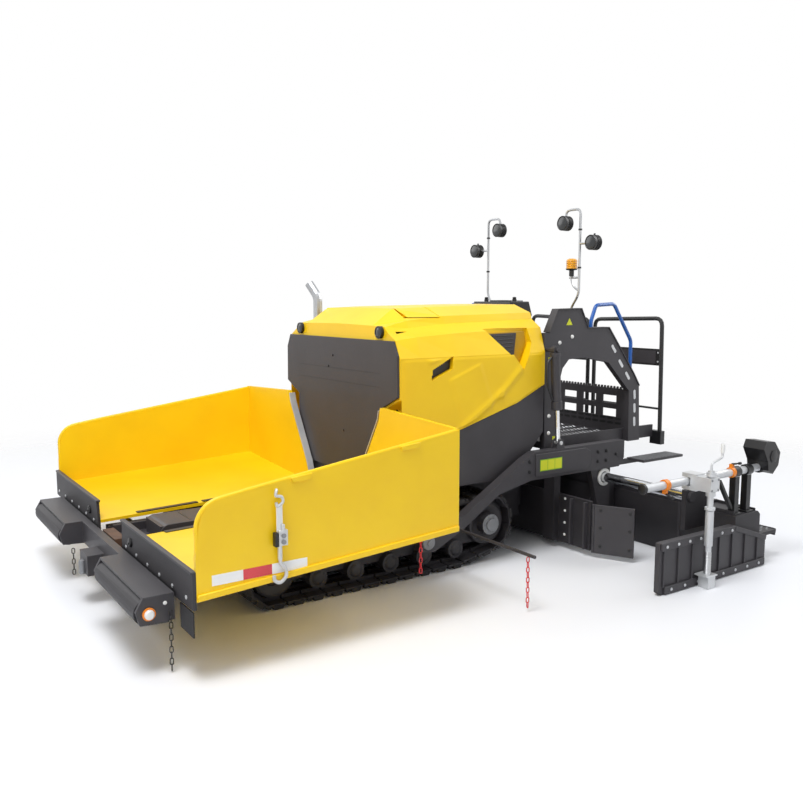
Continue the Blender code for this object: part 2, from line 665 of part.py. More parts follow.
def light_pole(side):
    """A bent pole with a work lamp on each side of its top."""
    def at(x, z):
        return (side * x, POLE_Y, z)
    inner, outer = POLE_X - 0.09, POLE_X
    path = [at(inner, 1.78 + GAP), at(inner, 1.96), at(outer, 2.08), at(outer, 2.80),
            at(0.43, 2.80), at(0.43, 2.74)]
    pole = tube(rounded(path, 0.05), 0.011)
    y = POLE_Y
    add = [rod((side * 0.43, y - 0.04, 2.69), (side * 0.43, y + 0.03, 2.69), 0.058, 16),
           rod((side * 0.76, y - 0.04, 2.51), (side * 0.76, y + 0.03, 2.51), 0.058, 16),
           rod(at(outer, 2.51), at(0.74, 2.51), 0.011, 8)]
    if side > 0:
        add.append(rod(at(outer, 2.225), at(inner - 0.02, 2.225), 0.010, 8))
    piece(f"light_pole_{side_name(side)}", pole, "steel", add=add)


def rear_rail(side):
    """A rail frame with a board and a bar, on two feet behind the deck."""
    def at(x, z):
        return (side * x, RAIL_Y, z)
    near, far, low = 0.040, 0.850, 0.750
    frame = tube(rounded([at(near, low), at(near, 1.85), at(far - 0.02, 1.87), at(far, low)], 0.07),
                 RAIL_TUBE)
    add = [block(mirrored(side, (near, far)), (RAIL_Y - 0.006, RAIL_Y + 0.006), (1.445, 1.595)),
           rod(at(near, 1.055), at(far, 1.055), 0.010, 8)]
    for x in (near, far - 0.06):
        add.append(block(mirrored(side, (x - 0.03, x + 0.09)),
                         (DECK_REAR + GAP, RAIL_Y + RAIL_FOOT), (0.735, 0.855)))
    piece(f"rear_rail_{side_name(side)}", frame, "rubber", add=add)


# ---------------------------------------------------------------- spreading
def auger(side):
    """A shaft with a helical flight."""
    name = side_name(side)
    spin = empty(f"auger_{name}_spin", (side * 0.5, AUGER_Y, AUGER_Z), machine)
    inner, outer = 0.080, 1.100
    turns = (outer - inner - 0.06) / AUGER_PITCH
    steps = round(turns * 14)
    bm = bmesh.new()
    rows = []
    half = 0.006
    for i in range(steps + 1):
        angle = 2 * math.pi * turns * i / steps
        x = inner + 0.03 + (outer - inner - 0.06) * i / steps
        ring = []
        for radius, offset in ((0.028, -half), (AUGER_RADIUS, -half), (AUGER_RADIUS, half),
                               (0.028, half)):
            ring.append(bm.verts.new((side * (x + offset), AUGER_Y + radius * math.cos(angle),
                                      AUGER_Z + radius * math.sin(angle))))
        rows.append(ring)
    for a, b in zip(rows, rows[1:]):
        for i in range(4):
            j = (i + 1) % 4
            bm.faces.new((a[i], a[j], b[j], b[i]))
    bm.faces.new(rows[0])
    bm.faces.new(list(reversed(rows[-1])))
    bmesh.ops.recalc_face_normals(bm, faces=bm.faces)
    mesh = bpy.data.meshes.new("flight")
    bm.to_mesh(mesh)
    bm.free()
    shaft = rod((side * inner, AUGER_Y, AUGER_Z), (side * outer, AUGER_Y, AUGER_Z), 0.038, 16)
    piece(f"auger_{name}", shaft, "steel", add=[helper(mesh)], carrier=spin)


def auger_wall():
    """The wall ahead of the augers, with the posts and brackets that carry them."""
    inner = TUNNEL_HALF + 0.02
    face = [(-WALL_HALF, WALL_BOTTOM), (WALL_HALF, WALL_BOTTOM), (WALL_HALF, WALL_TOP),
            (inner, WALL_TOP), (inner, 0.250), (-inner, 0.250), (-inner, WALL_TOP),
            (-WALL_HALF, WALL_TOP)]
    wall = plate(face, "Y", (WALL_Y, WALL_Y + 0.030))
    add = []
    for side in (1, -1):
        add.append(block(mirrored(side, (0.75, 0.87)), (WALL_Y - 0.06, WALL_Y + 0.01),
                         (WALL_BOTTOM + 0.01, 0.620)))
        add.append(block(mirrored(side, (0.32, 0.40)), (FRAME_REAR + GAP, WALL_Y + 0.01),
                         (0.260, WALL_TOP - 0.02)))
    hanger = block((-0.060, 0.060), (WALL_Y + 0.02, AUGER_Y + 0.06), (AUGER_Z - 0.06, AUGER_Z + 0.06))
    back = block((-0.060, 0.060), (FRAME_REAR + GAP, WALL_Y + 0.01), (0.205, 0.245))
    piece("auger_wall", wall, "dark", add=add + [hanger, back])


def side_flap(side):
    """The hinged flap at the outer end of the auger wall."""
    name = side_name(side)
    hinge = (side * (WALL_HALF + 0.020), WALL_Y + 0.015)
    pin = empty(f"side_flap_{name}_hinge", (*hinge, 0), machine)
    turn = math.radians(FLAP_ANGLE)
    along = Vector((side * math.cos(turn), math.sin(turn)))
    across = Vector((-along.y, along.x)) * 0.0125
    start = Vector(hinge) + along * 0.012
    end = Vector(hinge) + along * FLAP_LENGTH
    corners = [start + across, start - across, end - across, end + across]
    low, high = WALL_BOTTOM - 0.01, WALL_TOP - 0.02
    leaf = plate([tuple(c) for c in corners], "Z", (low, high))
    barrel = rod((*hinge, low), (*hinge, high), 0.0125, 12)
    piece(f"side_flap_{name}", leaf, "dark", add=[barrel], carrier=pin)


# ---------------------------------------------------------------- screed
screed_pivot = empty("screed_pivot", (0, TOW_Y, TOW_Z), machine)


def tow_arm(side):
    """The arm that tows the screed, with a guide bar in front and a step behind."""
    low = 0.630
    outline = [(1.885, 0.235), (2.010, 0.220), (2.285, 0.350), (2.620, 0.560), (2.950, low),
               (3.960, low), (4.020, 0.700), (4.020, 0.850), (2.990, 0.850), (2.880, 0.800),
               (2.285, 0.450), (1.960, 0.375), (1.885, 0.345)]
    span = mirrored(side, (ARM_IN, ARM_IN + ARM_THICK))
    arm = plate(outline, "X", span)
    front, rear = SCREED_FRONT - 0.060, SCREED_FRONT + 0.180
    foot = plate([(front, 0.640), (rear, 0.640), (rear, SCREED_TOP - 0.20),
                  (front + 0.100, SCREED_TOP - 0.20)], "X",
                 mirrored(side, (SCREED_HALF + GAP, SCREED_HALF + 0.055)))
    hole = rod((side * SCREED_HALF, TUBE_Y, TUBE_Z), (side * (ARM_IN + 0.2), TUBE_Y, TUBE_Z),
               TUBE_RADIUS + CLEAR)
    bar = rod((side * (ARM_IN + 0.04), 2.157, 0.385), (side * 1.865, 2.157, 0.385), 0.012, 8)
    step = block(mirrored(side, (ARM_IN + 0.06, 1.140)), (4.080, 4.600), (0.670, 0.690))
    bearer = block(mirrored(side, (ARM_IN + 0.05, ARM_IN + ARM_THICK)), (3.960, 4.590),
                   (0.640, 0.680))
    boss = rod((side * (ARM_IN + 0.05), TOW_Y, TOW_Z),
               (side * (ARM_IN + ARM_THICK + 0.015), TOW_Y, TOW_Z), 0.045, 16)
    piece(f"tow_arm_{side_name(side)}", arm, "dark", add=[foot, bar, boss, step, bearer], cut=[hole],
          carrier=screed_pivot)


def lift_ram(side):
    """The cylinder that lifts the screed by its tow arm."""
    x = side * (ARM_IN + ARM_THICK / 2)
    ram(f"lift_ram_{side_name(side)}", (x, *LIFT_TOP), (x, *LIFT_FOOT), 0.038, 0.470, 0.200)


def main_screed():
    """The screed's middle box, with its sole plate and the sockets of the extension tubes."""
    rear = SCREED_FRONT + SCREED_DEPTH
    box = plate([(SCREED_FRONT, 0.0), (rear, 0.0), (rear, SCREED_TOP - 0.04),
                 (rear - 0.04, SCREED_TOP), (SCREED_FRONT + 0.06, SCREED_TOP),
                 (SCREED_FRONT - 0.02, 0.32)], "X", (-SCREED_HALF, SCREED_HALF))
    beam = block((-SCREED_HALF, SCREED_HALF), (rear - 0.02, rear + 0.012), (0.25, 0.31))
    housing = block((-SCREED_HALF, SCREED_HALF), (TUBE_Y - 0.060, TUBE_Y + 0.060),
                    (SCREED_TOP - 0.01, TUBE_Z + 0.057))
    bore = rod((-1, TUBE_Y, TUBE_Z), (1, TUBE_Y, TUBE_Z), TUBE_RADIUS + CLEAR)
    piece("main_screed", box, "dark", add=[beam, housing], cut=[bore], carrier=screed_pivot)


def extension(side):
    """A sliding screed extension with its bolted end section, walkway and guide tubes."""
    name = side_name(side)
    slide = empty(f"extension_{name}_slide", (side * EXT_IN, SCREED_FRONT + SCREED_DEPTH, 0),
                  screed_pivot)
    front = SCREED_FRONT + SCREED_DEPTH + 0.020
    rear = front + EXT_DEPTH
    outline = [(front, 0.0), (rear, 0.0), (rear, EXT_TOP - 0.03), (rear - 0.03, EXT_TOP),
               (front, EXT_TOP)]
    body = plate(outline, "X", mirrored(side, (EXT_IN, EXT_OUT)))
    tread = block(mirrored(side, (EXT_IN, EXT_OUT)), (rear - 0.01, rear + 0.23), (0.205, 0.235))
    bracket = block(mirrored(side, (EXT_OUT - 0.280, EXT_OUT - 0.240)),
                    (TUBE_Y - 0.055, front + 0.02), (EXT_TOP - 0.12, TUBE_Z + 0.055))
    guide = rod((side * (SCREED_HALF - 0.10), TUBE_Y, TUBE_Z),
                (side * (EXT_OUT - 0.22), TUBE_Y, TUBE_Z), TUBE_RADIUS, 16)
    piece(f"extension_{name}", body, "dark", add=[tread, bracket, guide], carrier=slide)
    gate_x = EXT_OUT + GAP
    gate = [(GATE_FRONT + 0.03, 0.0), (GATE_REAR, 0.0), (GATE_REAR, 0.230),
            (GATE_FRONT + 0.85, GATE_TOP), (GATE_FRONT, GATE_TOP), (GATE_FRONT, 0.02)]
    piece(f"end_gate_{name}", plate(gate, "X", mirrored(side, (gate_x, gate_x + GATE_THICK))),
          "dark", carrier=slide)
    sensor_rail(side, slide)


def sensor_rail(side, slide):
    """The silver rail over the end gate, its posts, its jack and the control box."""
    name = side_name(side)
    x = side * RAIL_X
    rail = rod((x, 3.020, RAIL_Z), (x, 4.360, RAIL_Z), 0.030, 16)
    low = EXT_TOP + GAP
    posts = [block(mirrored(side, (RAIL_X - 0.025, RAIL_X + 0.025)), (y - 0.025, y + 0.025),
                   (low, RAIL_Z)) for y in (4.075, 4.225)]
    piece(f"sensor_rail_{name}", rail, "steel", add=posts, carrier=slide)
    reach = JACK_X - RAIL_X
    collar = block(mirrored(side, (RAIL_X + 0.035, JACK_X + 0.035)), (JACK_Y - 0.05, JACK_Y + 0.05),
                   (RAIL_Z - 0.05, RAIL_Z + 0.05))
    yoke = [block(mirrored(side, (RAIL_X - 0.035, JACK_X - reach / 2)),
                  (JACK_Y - 0.05, JACK_Y + 0.05), z)
            for z in ((RAIL_Z + 0.0305, RAIL_Z + 0.06), (RAIL_Z - 0.06, RAIL_Z - 0.0305))]
    pole_x = side * JACK_X
    pole = rod((pole_x, JACK_Y, 0.06), (pole_x, JACK_Y, RAIL_Z + 0.10), 0.022, 14)
    plate_ring = block(mirrored(side, (JACK_X - 0.06, JACK_X + 0.045)),
                       (JACK_Y - 0.06, JACK_Y + 0.06), (0.085, 0.095))
    foot = block(mirrored(side, (JACK_X - 0.042, JACK_X + 0.042)), (JACK_Y - 0.04, JACK_Y + 0.04),
                 (0.0, 0.09))
    crank = tube(rounded([(pole_x, JACK_Y, RAIL_Z + 0.09), (pole_x, JACK_Y, RAIL_Z + 0.15),
                          (pole_x, JACK_Y + 0.12, RAIL_Z + 0.18),
                          (pole_x, JACK_Y + 0.12, RAIL_Z + 0.28)], 0.02), 0.008)
    piece(f"jack_{name}", collar, "steel", add=yoke + [pole, plate_ring, foot, crank],
          carrier=slide)
    case = [(4.370, 0.730), (4.430, 0.700), (4.500, 0.760), (4.520, 0.860), (4.440, 0.950),
            (4.330, 0.960), (4.300, 0.900), (4.360, 0.800)]
    box = plate(case, "X", mirrored(side, (RAIL_X - 0.09, RAIL_X + 0.09)))
    bracket = block(mirrored(side, (RAIL_X - 0.02, RAIL_X + 0.02)), (4.360 + GAP, 4.440),
                    (RAIL_Z - 0.04, RAIL_Z + 0.04))
    piece(f"control_box_{name}", box, "panel", add=[bracket], carrier=slide)


# ---------------------------------------------------------------- the machine
main_frame()
tow_bracket()
conveyor()
push_beam()
hood()
front_panel()
tractor_body()
platform()
auger_wall()
main_screed()
for hand in (1, -1):
    wing(hand)
    wing_ram(hand)
    running_gear(hand)
    auger(hand)
    side_flap(hand)
    tow_arm(hand)
    lift_ram(hand)
    extension(hand)
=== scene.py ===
# %% [markdown]
# # A tracked asphalt paver
#
# A paver is a slow factory on tracks. A truck tips hot asphalt into the yellow hopper in front, a
# conveyor carries it through the machine, two augers spread it, and the floating screed behind
# irons it flat. This lesson starts from plain solids and gives each the finish and the small parts
# that the real one has. All lengths are metres; the machine drives towards -Y.

# %% Load the plain solids
import math

import bmesh
import bpy
import numpy as np
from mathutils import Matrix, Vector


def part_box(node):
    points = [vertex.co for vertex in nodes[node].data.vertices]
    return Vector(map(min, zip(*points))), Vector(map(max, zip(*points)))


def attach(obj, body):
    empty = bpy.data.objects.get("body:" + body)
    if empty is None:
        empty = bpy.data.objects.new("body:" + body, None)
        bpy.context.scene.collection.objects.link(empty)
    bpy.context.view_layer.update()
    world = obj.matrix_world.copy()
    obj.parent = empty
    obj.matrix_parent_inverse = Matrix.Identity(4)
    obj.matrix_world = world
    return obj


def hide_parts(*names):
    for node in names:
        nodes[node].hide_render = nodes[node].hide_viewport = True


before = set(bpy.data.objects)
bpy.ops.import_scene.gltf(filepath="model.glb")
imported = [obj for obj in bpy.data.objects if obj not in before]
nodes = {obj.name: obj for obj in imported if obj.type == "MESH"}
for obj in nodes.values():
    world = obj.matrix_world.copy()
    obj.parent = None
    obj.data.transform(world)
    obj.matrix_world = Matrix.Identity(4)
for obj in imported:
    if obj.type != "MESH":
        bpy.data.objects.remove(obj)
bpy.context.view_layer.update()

# %% [markdown]
# Lengths along the machine are easiest to read as a station: the distance behind the hopper's
# front edge. The wings start at station zero, so their box tells where that is.

# %% Where things are
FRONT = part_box("wing_left")[0][1]
HOPPER_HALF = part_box("wing_left")[1][0]
HOPPER_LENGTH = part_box("wing_left")[1][1] - FRONT
SIDES = (("left", 1), ("right", -1))


def at(x, station, z):
    """A point in the frame, from a distance across, a station and a height."""
    return np.array((x, FRONT + station, z), float)


print("hopper", round(2 * HOPPER_HALF, 3), "m wide and", round(HOPPER_LENGTH, 3), "m long")

# %% [markdown]
# ## The camera
#
# The camera stands ahead of the left front corner, a little above the hood's height, and looks
# slightly down along the machine. A 37 mm lens keeps the perspective strong, as it is close.

# %% Camera
camera = bpy.data.objects.new("camera", bpy.data.cameras.new("camera"))
bpy.context.scene.collection.objects.link(camera)
camera.location = at(5.635, -1.460, 2.026)
camera.rotation_euler = (math.radians(83.04), 0, math.radians(55.665))
camera.data.lens = 36.98
camera.data.sensor_width = 36
bpy.context.scene.camera = camera
print("camera at", [round(v, 2) for v in camera.location])

# %% [markdown]
# ## Finishes
#
# Each finish is a Principled shader with a pattern at its real size. One function adds a node, one
# turns a hex colour to linear light, and one builds the usual layout: colour that drifts a little,
# roughness that varies, and a fine bump.

# %% Material helpers
def linear(code):
    """An sRGB hex colour as linear red, green, blue and alpha."""
    channels = [int(code[i:i + 2], 16) / 255 for i in (1, 3, 5)]
    return (*[c / 12.92 if c <= 0.04045 else ((c + 0.055) / 1.055) ** 2.4 for c in channels], 1)


def add(tree, kind, settings=(), **links):
    """Adds a node, sets its values, and links its named inputs to other nodes' outputs."""
    new = tree.nodes.new("ShaderNode" + kind)
    for key, value in dict(settings).items():
        if key in new.inputs:
            new.inputs[key].default_value = value
        else:
            setattr(new, key, value)
    for key, source in links.items():
        tree.links.new(source, new.inputs[key.replace("_", " ")])
    return new


def finish(name, colour, other, roughness, grain_mm, bump_mm, metallic=0.0, coat=0.0,
           drift_mm=400, stretch=(1, 1, 1), spread=0.08):
    """A finish: two close colours that drift, uneven roughness and a fine bump."""
    material = bpy.data.materials.new(name)
    material.use_nodes = True
    tree = material.node_tree
    tree.nodes.clear()
    place = add(tree, "TexCoord").outputs["Object"]
    turned = add(tree, "Mapping", {"Scale": stretch}, Vector=place).outputs[0]
    drift = add(tree, "TexNoise", {"Scale": 1000 / drift_mm, "Detail": 4}, Vector=place)
    grain = add(tree, "TexNoise", {"Scale": 1000 / grain_mm, "Detail": 3}, Vector=turned)
    tone = add(tree, "ValToRGB", (), Fac=drift.outputs["Fac"])
    tone.color_ramp.elements[0].color = linear(colour)
    tone.color_ramp.elements[1].color = linear(other)
    tone.color_ramp.elements[0].position = 0.40
    tone.color_ramp.elements[1].position = 0.70
    rough = add(tree, "MapRange", {"To Min": max(roughness - spread, 0.02),
                                   "To Max": roughness + spread}, Value=grain.outputs["Fac"])
    relief = add(tree, "Bump", {"Strength": 0.5, "Distance": bump_mm / 1000},
                 Height=grain.outputs["Fac"])
    shader = add(tree, "BsdfPrincipled", {"Metallic": metallic, "Coat Weight": coat,
                                          "Coat Roughness": 0.08},
                 Base_Color=tone.outputs["Color"], Roughness=rough.outputs["Result"],
                 Normal=relief.outputs["Normal"])
    out = add(tree, "OutputMaterial", (), Surface=shader.outputs[0])
    out.location = (600, 0)
    return material


# %% [markdown]
# The bodywork is sprayed enamel: a strong yellow with a clear top layer, and a faint orange-peel
# ripple a few millimetres across. The frame is a satin dark grey with the texture of paint over
# hot-rolled plate. Bare metal is chrome on the rods, and zinc or brushed steel on rails.

# %% Finishes
ENAMEL = finish("yellow_enamel", "#F8CE06", "#F3C704", 0.42, 9, 0.05, coat=0.05, spread=0.05)
# A darker copy of the yellow enamel for the scoop's inside: painted shade, the enamel as it looks
# in the scoop's shadow.
ENAMEL_PAINTED_SHADE = finish("yellow_enamel_recess", "#C79A06", "#B58A04", 0.45, 9, 0.05)
SATIN = finish("satin_grey_paint", "#38363A", "#302E32", 0.54, 6, 0.12, coat=0.05)
PANEL = finish("dark_sheet_paint", "#363337", "#2F2C30", 0.54, 8, 0.08, coat=0.05)
DARK = finish("dark_steel_plate", "#29272B", "#201E22", 0.58, 5, 0.15)
RUBBER = finish("track_rubber", "#242325", "#2E2C2D", 0.82, 7, 0.30, spread=0.10)
CHROME = finish("hard_chrome", "#E8E9EB", "#DDDFE2", 0.12, 3, 0.01, metallic=1.0, spread=0.04)
STEEL = finish("brushed_steel", "#BDBEC0", "#A9ABAE", 0.34, 2, 0.04, metallic=1.0,
               stretch=(1, 0.06, 1))
ZINC = finish("zinc_plated_steel", "#CFD1D3", "#BCBEC2", 0.42, 25, 0.03, metallic=0.5)
CAST = finish("cast_grey_iron", "#8E9093", "#7C7E82", 0.55, 2.5, 0.20, metallic=0.5)
BLUE = finish("blue_rail_paint", "#1D5FB4", "#1A55A3", 0.32, 6, 0.05, coat=0.3)
PRIMER = finish("worn_brown_primer", "#5A4030", "#463127", 0.70, 12, 0.25, drift_mm=60)
WHITE = finish("white_plastic", "#ECECEA", "#E2E2E0", 0.38, 3, 0.02)
ORANGE = finish("orange_paint", "#F08A1C", "#E67F12", 0.40, 4, 0.04)
RED = finish("red_painted_chain", "#D3202B", "#C01A25", 0.38, 4, 0.05, coat=0.2)
TAPE_RED = finish("red_reflective_tape", "#D8323C", "#C92A34", 0.25, 3, 0.08, coat=0.5)
TAPE_WHITE = finish("white_reflective_tape", "#F2F3F4", "#E6E8EA", 0.25, 3, 0.08, coat=0.5)
LABEL = finish("yellow_green_label", "#D6DC2E", "#CBD226", 0.40, 5, 0.02)
GREEN = finish("green_label_border", "#7FB52B", "#77AB26", 0.40, 5, 0.02)
BLACK = finish("black_moulded_plastic", "#151517", "#1B1B1D", 0.42, 1.5, 0.05)
GLASS = finish("smoked_lens_glass", "#1E2226", "#15181B", 0.24, 30, 0.01, coat=0.25, spread=0.04)
AMBER = finish("amber_lens", "#E8A313", "#D98E08", 0.18, 6, 0.03, coat=0.8)
LAMP_RED = finish("red_lens", "#C4161C", "#A81016", 0.18, 6, 0.03, coat=0.8)
print(len(bpy.data.materials), "finishes")

# %% [markdown]
# ## Finishes on the solids
#
# Real plate has no razor edges: a cut edge is eased by a millimetre or two, and that thin bright
# line is what tells the eye that a panel is metal. A Weld joins the loose triangles and a Bevel
# rounds their edges, without touching the stored mesh.

# %% Dress the solids
SHARP = math.radians(35)
DRESS = {
    "wing": (ENAMEL, 3.0), "apron": (DARK, 2.0), "wing_ram_barrel": (SATIN, 1.5),
    "wing_ram_rod": (CHROME, 0.8), "push_beam": (SATIN, 3.0), "push_roller": (DARK, 3.0),
    "tow_bracket": (PRIMER, 3.0), "track": (RUBBER, 0), "track_frame": (DARK, 3.0),
    "main_frame": (DARK, 3.0), "conveyor": (PANEL, 2.0), "engine": (CAST, 6.0),
    "hood": (ENAMEL, 4.0), "roof_hatch": (ENAMEL, 3.0), "front_panel": (PANEL, 2.5),
    "exhaust": (STEEL, 0), "side_body": (SATIN, 4.0), "platform": (SATIN, 2.0),
    "console": (BLACK, 6.0), "beacon": (AMBER, 0), "arch": (SATIN, 3.0), "handrail": (BLUE, 0),
    "light_pole": (STEEL, 0), "rear_rail": (BLACK, 0), "auger": (STEEL, 0),
    "auger_wall": (DARK, 2.0), "side_flap": (SATIN, 2.0), "tow_arm": (SATIN, 3.0),
    "lift_ram_barrel": (SATIN, 2.0), "lift_ram_rod": (CHROME, 0.8), "main_screed": (DARK, 3.0),
    "extension": (DARK, 3.0), "end_gate": (SATIN, 3.0), "sensor_rail": (ZINC, 1.0),
    "jack": (ZINC, 2.0), "control_box": (BLACK, 4.0),
}


def ease_edges(piece, ease_mm):
    """Rounds the edges that turn by more than 35 degrees, to a width in millimetres."""
    if ease_mm:
        ease = piece.modifiers.new("eased_edges", "BEVEL")
        ease.width, ease.segments = ease_mm / 1000, 2
        ease.limit_method, ease.angle_limit = "ANGLE", SHARP


def dress(node, material, ease_mm):
    """Gives a solid its finish, and eased edges of a width in millimetres."""
    node.data.materials.clear()
    node.data.materials.append(material)
    node.modifiers.new("join", "WELD").merge_threshold = 0.00005
    ease_edges(node, ease_mm)


for name, node in nodes.items():
    kind = name.replace("_left", "").replace("_right", "")
    dress(node, *DRESS[kind])
print("dressed", len(nodes), "solids")

# %% [markdown]
# ## Surfaces from numbers
#
# Nearly every small part is one of four surfaces: a grid of points, a profile swept along a path,
# a profile turned about an axis, or a flat outline with thickness. Each is worked out as whole
# arrays of numbers and handed to Blender in one go.

# %% Surface helpers
def surface(name, points, quads, material, body, slot=None):
    """A piece from an array of points and an array of faces, riding on a body."""
    mesh = bpy.data.meshes.new(name)
    mesh.from_pydata(np.asarray(points, float).reshape(-1, 3).tolist(), [],
                     [tuple(int(i) for i in q) for q in quads])
    mesh.validate()
    mesh.update()
    mesh.polygons.foreach_set("use_smooth", [True] * len(mesh.polygons))
    mesh.materials.append(material)
    piece = bpy.data.objects.new(name, mesh)
    bpy.context.scene.collection.objects.link(piece)
    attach(piece, body)
    return piece


def ring_quads(rings, around, closed=False):
    """Faces between rings of points; closed joins the last ring to the first."""
    i, j = np.meshgrid(np.arange(rings if closed else rings - 1), np.arange(around),
                       indexing="ij")
    a = i * around + j
    b = i * around + (j + 1) % around
    c = ((i + 1) % rings) * around + (j + 1) % around
    d = ((i + 1) % rings) * around + j
    return np.stack([a, b, c, d], -1).reshape(-1, 4).tolist()


def sweep_arrays(path, outline, closed=False):
    """Carries a flat outline along a path: each ring is the outline in the plane across the path.

    The two directions across are carried on from ring to ring with no twist.
    """
    path, outline = np.asarray(path, float), np.asarray(outline, float)
    ahead = np.roll(path, -1, 0) - np.roll(path, 1, 0)
    if not closed:
        ahead[0], ahead[-1] = path[1] - path[0], path[-1] - path[-2]
    ahead /= np.linalg.norm(ahead, axis=1)[:, None]
    side = np.cross(ahead[0], (0, 0, 1) if abs(ahead[0][2]) < 0.9 else (1, 0, 0))
    sides = []
    for direction in ahead:
        side = side - direction * side.dot(direction)
        side /= np.linalg.norm(side)
        sides.append(side)
    sides = np.array(sides)
    ups = np.cross(sides, ahead)
    points = (path[:, None] + outline[None, :, 0, None] * sides[:, None]
              + outline[None, :, 1, None] * ups[:, None])
    quads = ring_quads(len(path), len(outline), closed)
    if not closed:
        last = (len(path) - 1) * len(outline)
        quads += [list(range(len(outline)))[::-1], list(range(last, last + len(outline)))]
    return points.reshape(-1, 3), quads


def circle(radius, sides=16):
    """Points round a circle: radius times the cosine and the sine of a turn."""
    turn = np.linspace(0, 2 * math.pi, sides, endpoint=False)
    return np.stack([radius * np.cos(turn), radius * np.sin(turn)], -1)


def smooth_path(points, steps=10):
    """A Catmull-Rom curve through points: it passes each one with an even bend."""
    p = np.asarray(points, float)
    p = np.vstack([2 * p[0] - p[1], p, 2 * p[-1] - p[-2]])
    t = np.linspace(0, 1, steps, endpoint=False)[:, None]
    parts = [0.5 * (2 * b + (c - a) * t + (2 * a - 5 * b + 4 * c - d) * t ** 2
                    + (3 * b - a - 3 * c + d) * t ** 3)
             for a, b, c, d in zip(p, p[1:], p[2:], p[3:])]
    return np.vstack(parts + [p[-2:-1]])


def turned_arrays(start, direction, profile, sides=24):
    """Turns a profile of (distance, radius) pairs about an axis; radius zero is a pole."""
    direction = np.asarray(direction, float)
    direction = direction / np.linalg.norm(direction)
    across = np.cross(direction, (0, 0, 1) if abs(direction[2]) < 0.9 else (1, 0, 0))
    across /= np.linalg.norm(across)
    up = np.cross(direction, across)
    turn = np.linspace(0, 2 * math.pi, sides, endpoint=False)
    spoke = np.cos(turn)[:, None] * across + np.sin(turn)[:, None] * up
    profile = np.asarray(profile, float)
    points = (np.asarray(start, float) + profile[:, None, :1] * direction
              + profile[:, None, 1:] * spoke[None])
    quads = [q[::-1] for q in ring_quads(len(profile), sides)]
    last = (len(profile) - 1) * sides
    quads += [list(range(sides)), list(range(last, last + sides))[::-1]]
    return points.reshape(-1, 3), [q[::-1] for q in quads]


def plate_arrays(outline, axis, low, high):
    """A flat outline with thickness along X, Y or Z. Outline pairs are in axis order.

    Each point is repeated at the lower and at the higher end of the thickness.
    """
    flat = np.asarray(outline, float)
    order = {"X": (1, 2, 0), "Y": (0, 2, 1), "Z": (0, 1, 2)}[axis]
    count = len(flat)
    points = np.empty((2, count, 3))
    points[:, :, order[0]], points[:, :, order[1]] = flat[:, 0], flat[:, 1]
    points[:, :, order[2]] = np.sort((low, high))[:, None]
    quads = ring_quads(2, count) + [list(range(count))[::-1], list(range(count, 2 * count))]
    return points.reshape(-1, 3), quads


def gather(parts):
    """Several (points, faces) pairs as one, with the faces renumbered."""
    points, quads, total = [], [], 0
    for part_points, part_quads in parts:
        points.append(np.asarray(part_points, float).reshape(-1, 3))
        quads += [[i + total for i in quad] for quad in part_quads]
        total += len(points[-1])
    return np.vstack(points), quads


def outward(piece, ease_mm=0.0):
    """Recalculates a piece's normals outwards, and eases its edges where asked."""
    bm = bmesh.new()
    bm.from_mesh(piece.data)
    bmesh.ops.recalc_face_normals(bm, faces=bm.faces)
    bm.to_mesh(piece.data)
    bm.free()
    ease_edges(piece, ease_mm)
    piece.data.set_sharp_from_angle(angle=SHARP)
    return piece


def make(name, parts, material, body, ease_mm=0.0, slot=None):
    """One piece from several (points, faces) pairs."""
    return outward(surface(name, *gather(parts), material, body, slot=slot), ease_mm=ease_mm)


def sweep(name, path, outline, material, body):
    """A piece swept along a path."""
    return make(name, [sweep_arrays(path, outline)], material, body)


def side_plate(outline, low, high):
    """A plate that stands along the machine: its outline is in (station, height) pairs."""
    return plate_arrays([(FRONT + s, z) for s, z in outline], "X", low, high)


def box_arrays(x, station, z):
    """A box between pairs of distances across, stations and heights."""
    x = sorted(x)
    (x0, y0, z0), (x1, y1, z1) = at(x[0], station[0], z[0]), at(x[1], station[1], z[1])
    return plate_arrays([(x0, y0), (x1, y0), (x1, y1), (x0, y1)], "Z", z0, z1)


def bolt_arrays(place, direction, radius):
    """A washer and a hexagon head, standing on a face."""
    washer = turned_arrays(place, direction, [(-0.001, radius * 1.25), (0.003, radius * 1.25),
                                              (0.0035, radius * 0.9)], 12)
    head = turned_arrays(place, direction, [(0.002, radius), (radius * 0.75, radius),
                                            (radius * 0.85, radius * 0.8)], 6)
    return [washer, head]


def bolts(name, places, direction, radius, material, body):
    """A set of bolt heads as one piece."""
    parts = [part for place in places for part in bolt_arrays(place, direction, radius)]
    return make(name, parts, material, body)


print("helpers ready")

# %% [markdown]
# ## The hopper
#
# The wings are folded from thick sheet, and their free edge is rolled round a bar so that it
# does not cut and does not bend. A tube swept along the edge, from the front corner over the nose
# and along the sloping top, gives that bright rounded line.

# %% Rolled edges of the wings
nose_radius = 0.15
front_top, rear_top = 0.992, 1.218


def top_edge(station):
    """Height of a wing's sloping top at a station."""
    return front_top + (rear_top - front_top) * (station - 0.1) / (HOPPER_LENGTH - 0.1)


for name, side in SIDES:
    edge_x = side * (HOPPER_HALF - 0.015)
    turn = np.radians(np.linspace(180, 98, 9))
    nose = [at(edge_x, 0.017 + nose_radius * (1 + math.cos(a)) - 0.004,
               front_top - nose_radius + nose_radius * math.sin(a)) for a in turn]
    path = [at(edge_x, 0.014, 0.47), at(edge_x, 0.014, 0.65), at(edge_x, 0.014, 0.80)] + nose
    path += [at(edge_x, s, top_edge(s) - 0.004) for s in (0.35, 0.8, 1.3, 1.725)]
    sweep(f"wing_rolled_edge_{name}", path, circle(0.0145, 12), ENAMEL, f"wing_{name}")
print("rolled edges swept")

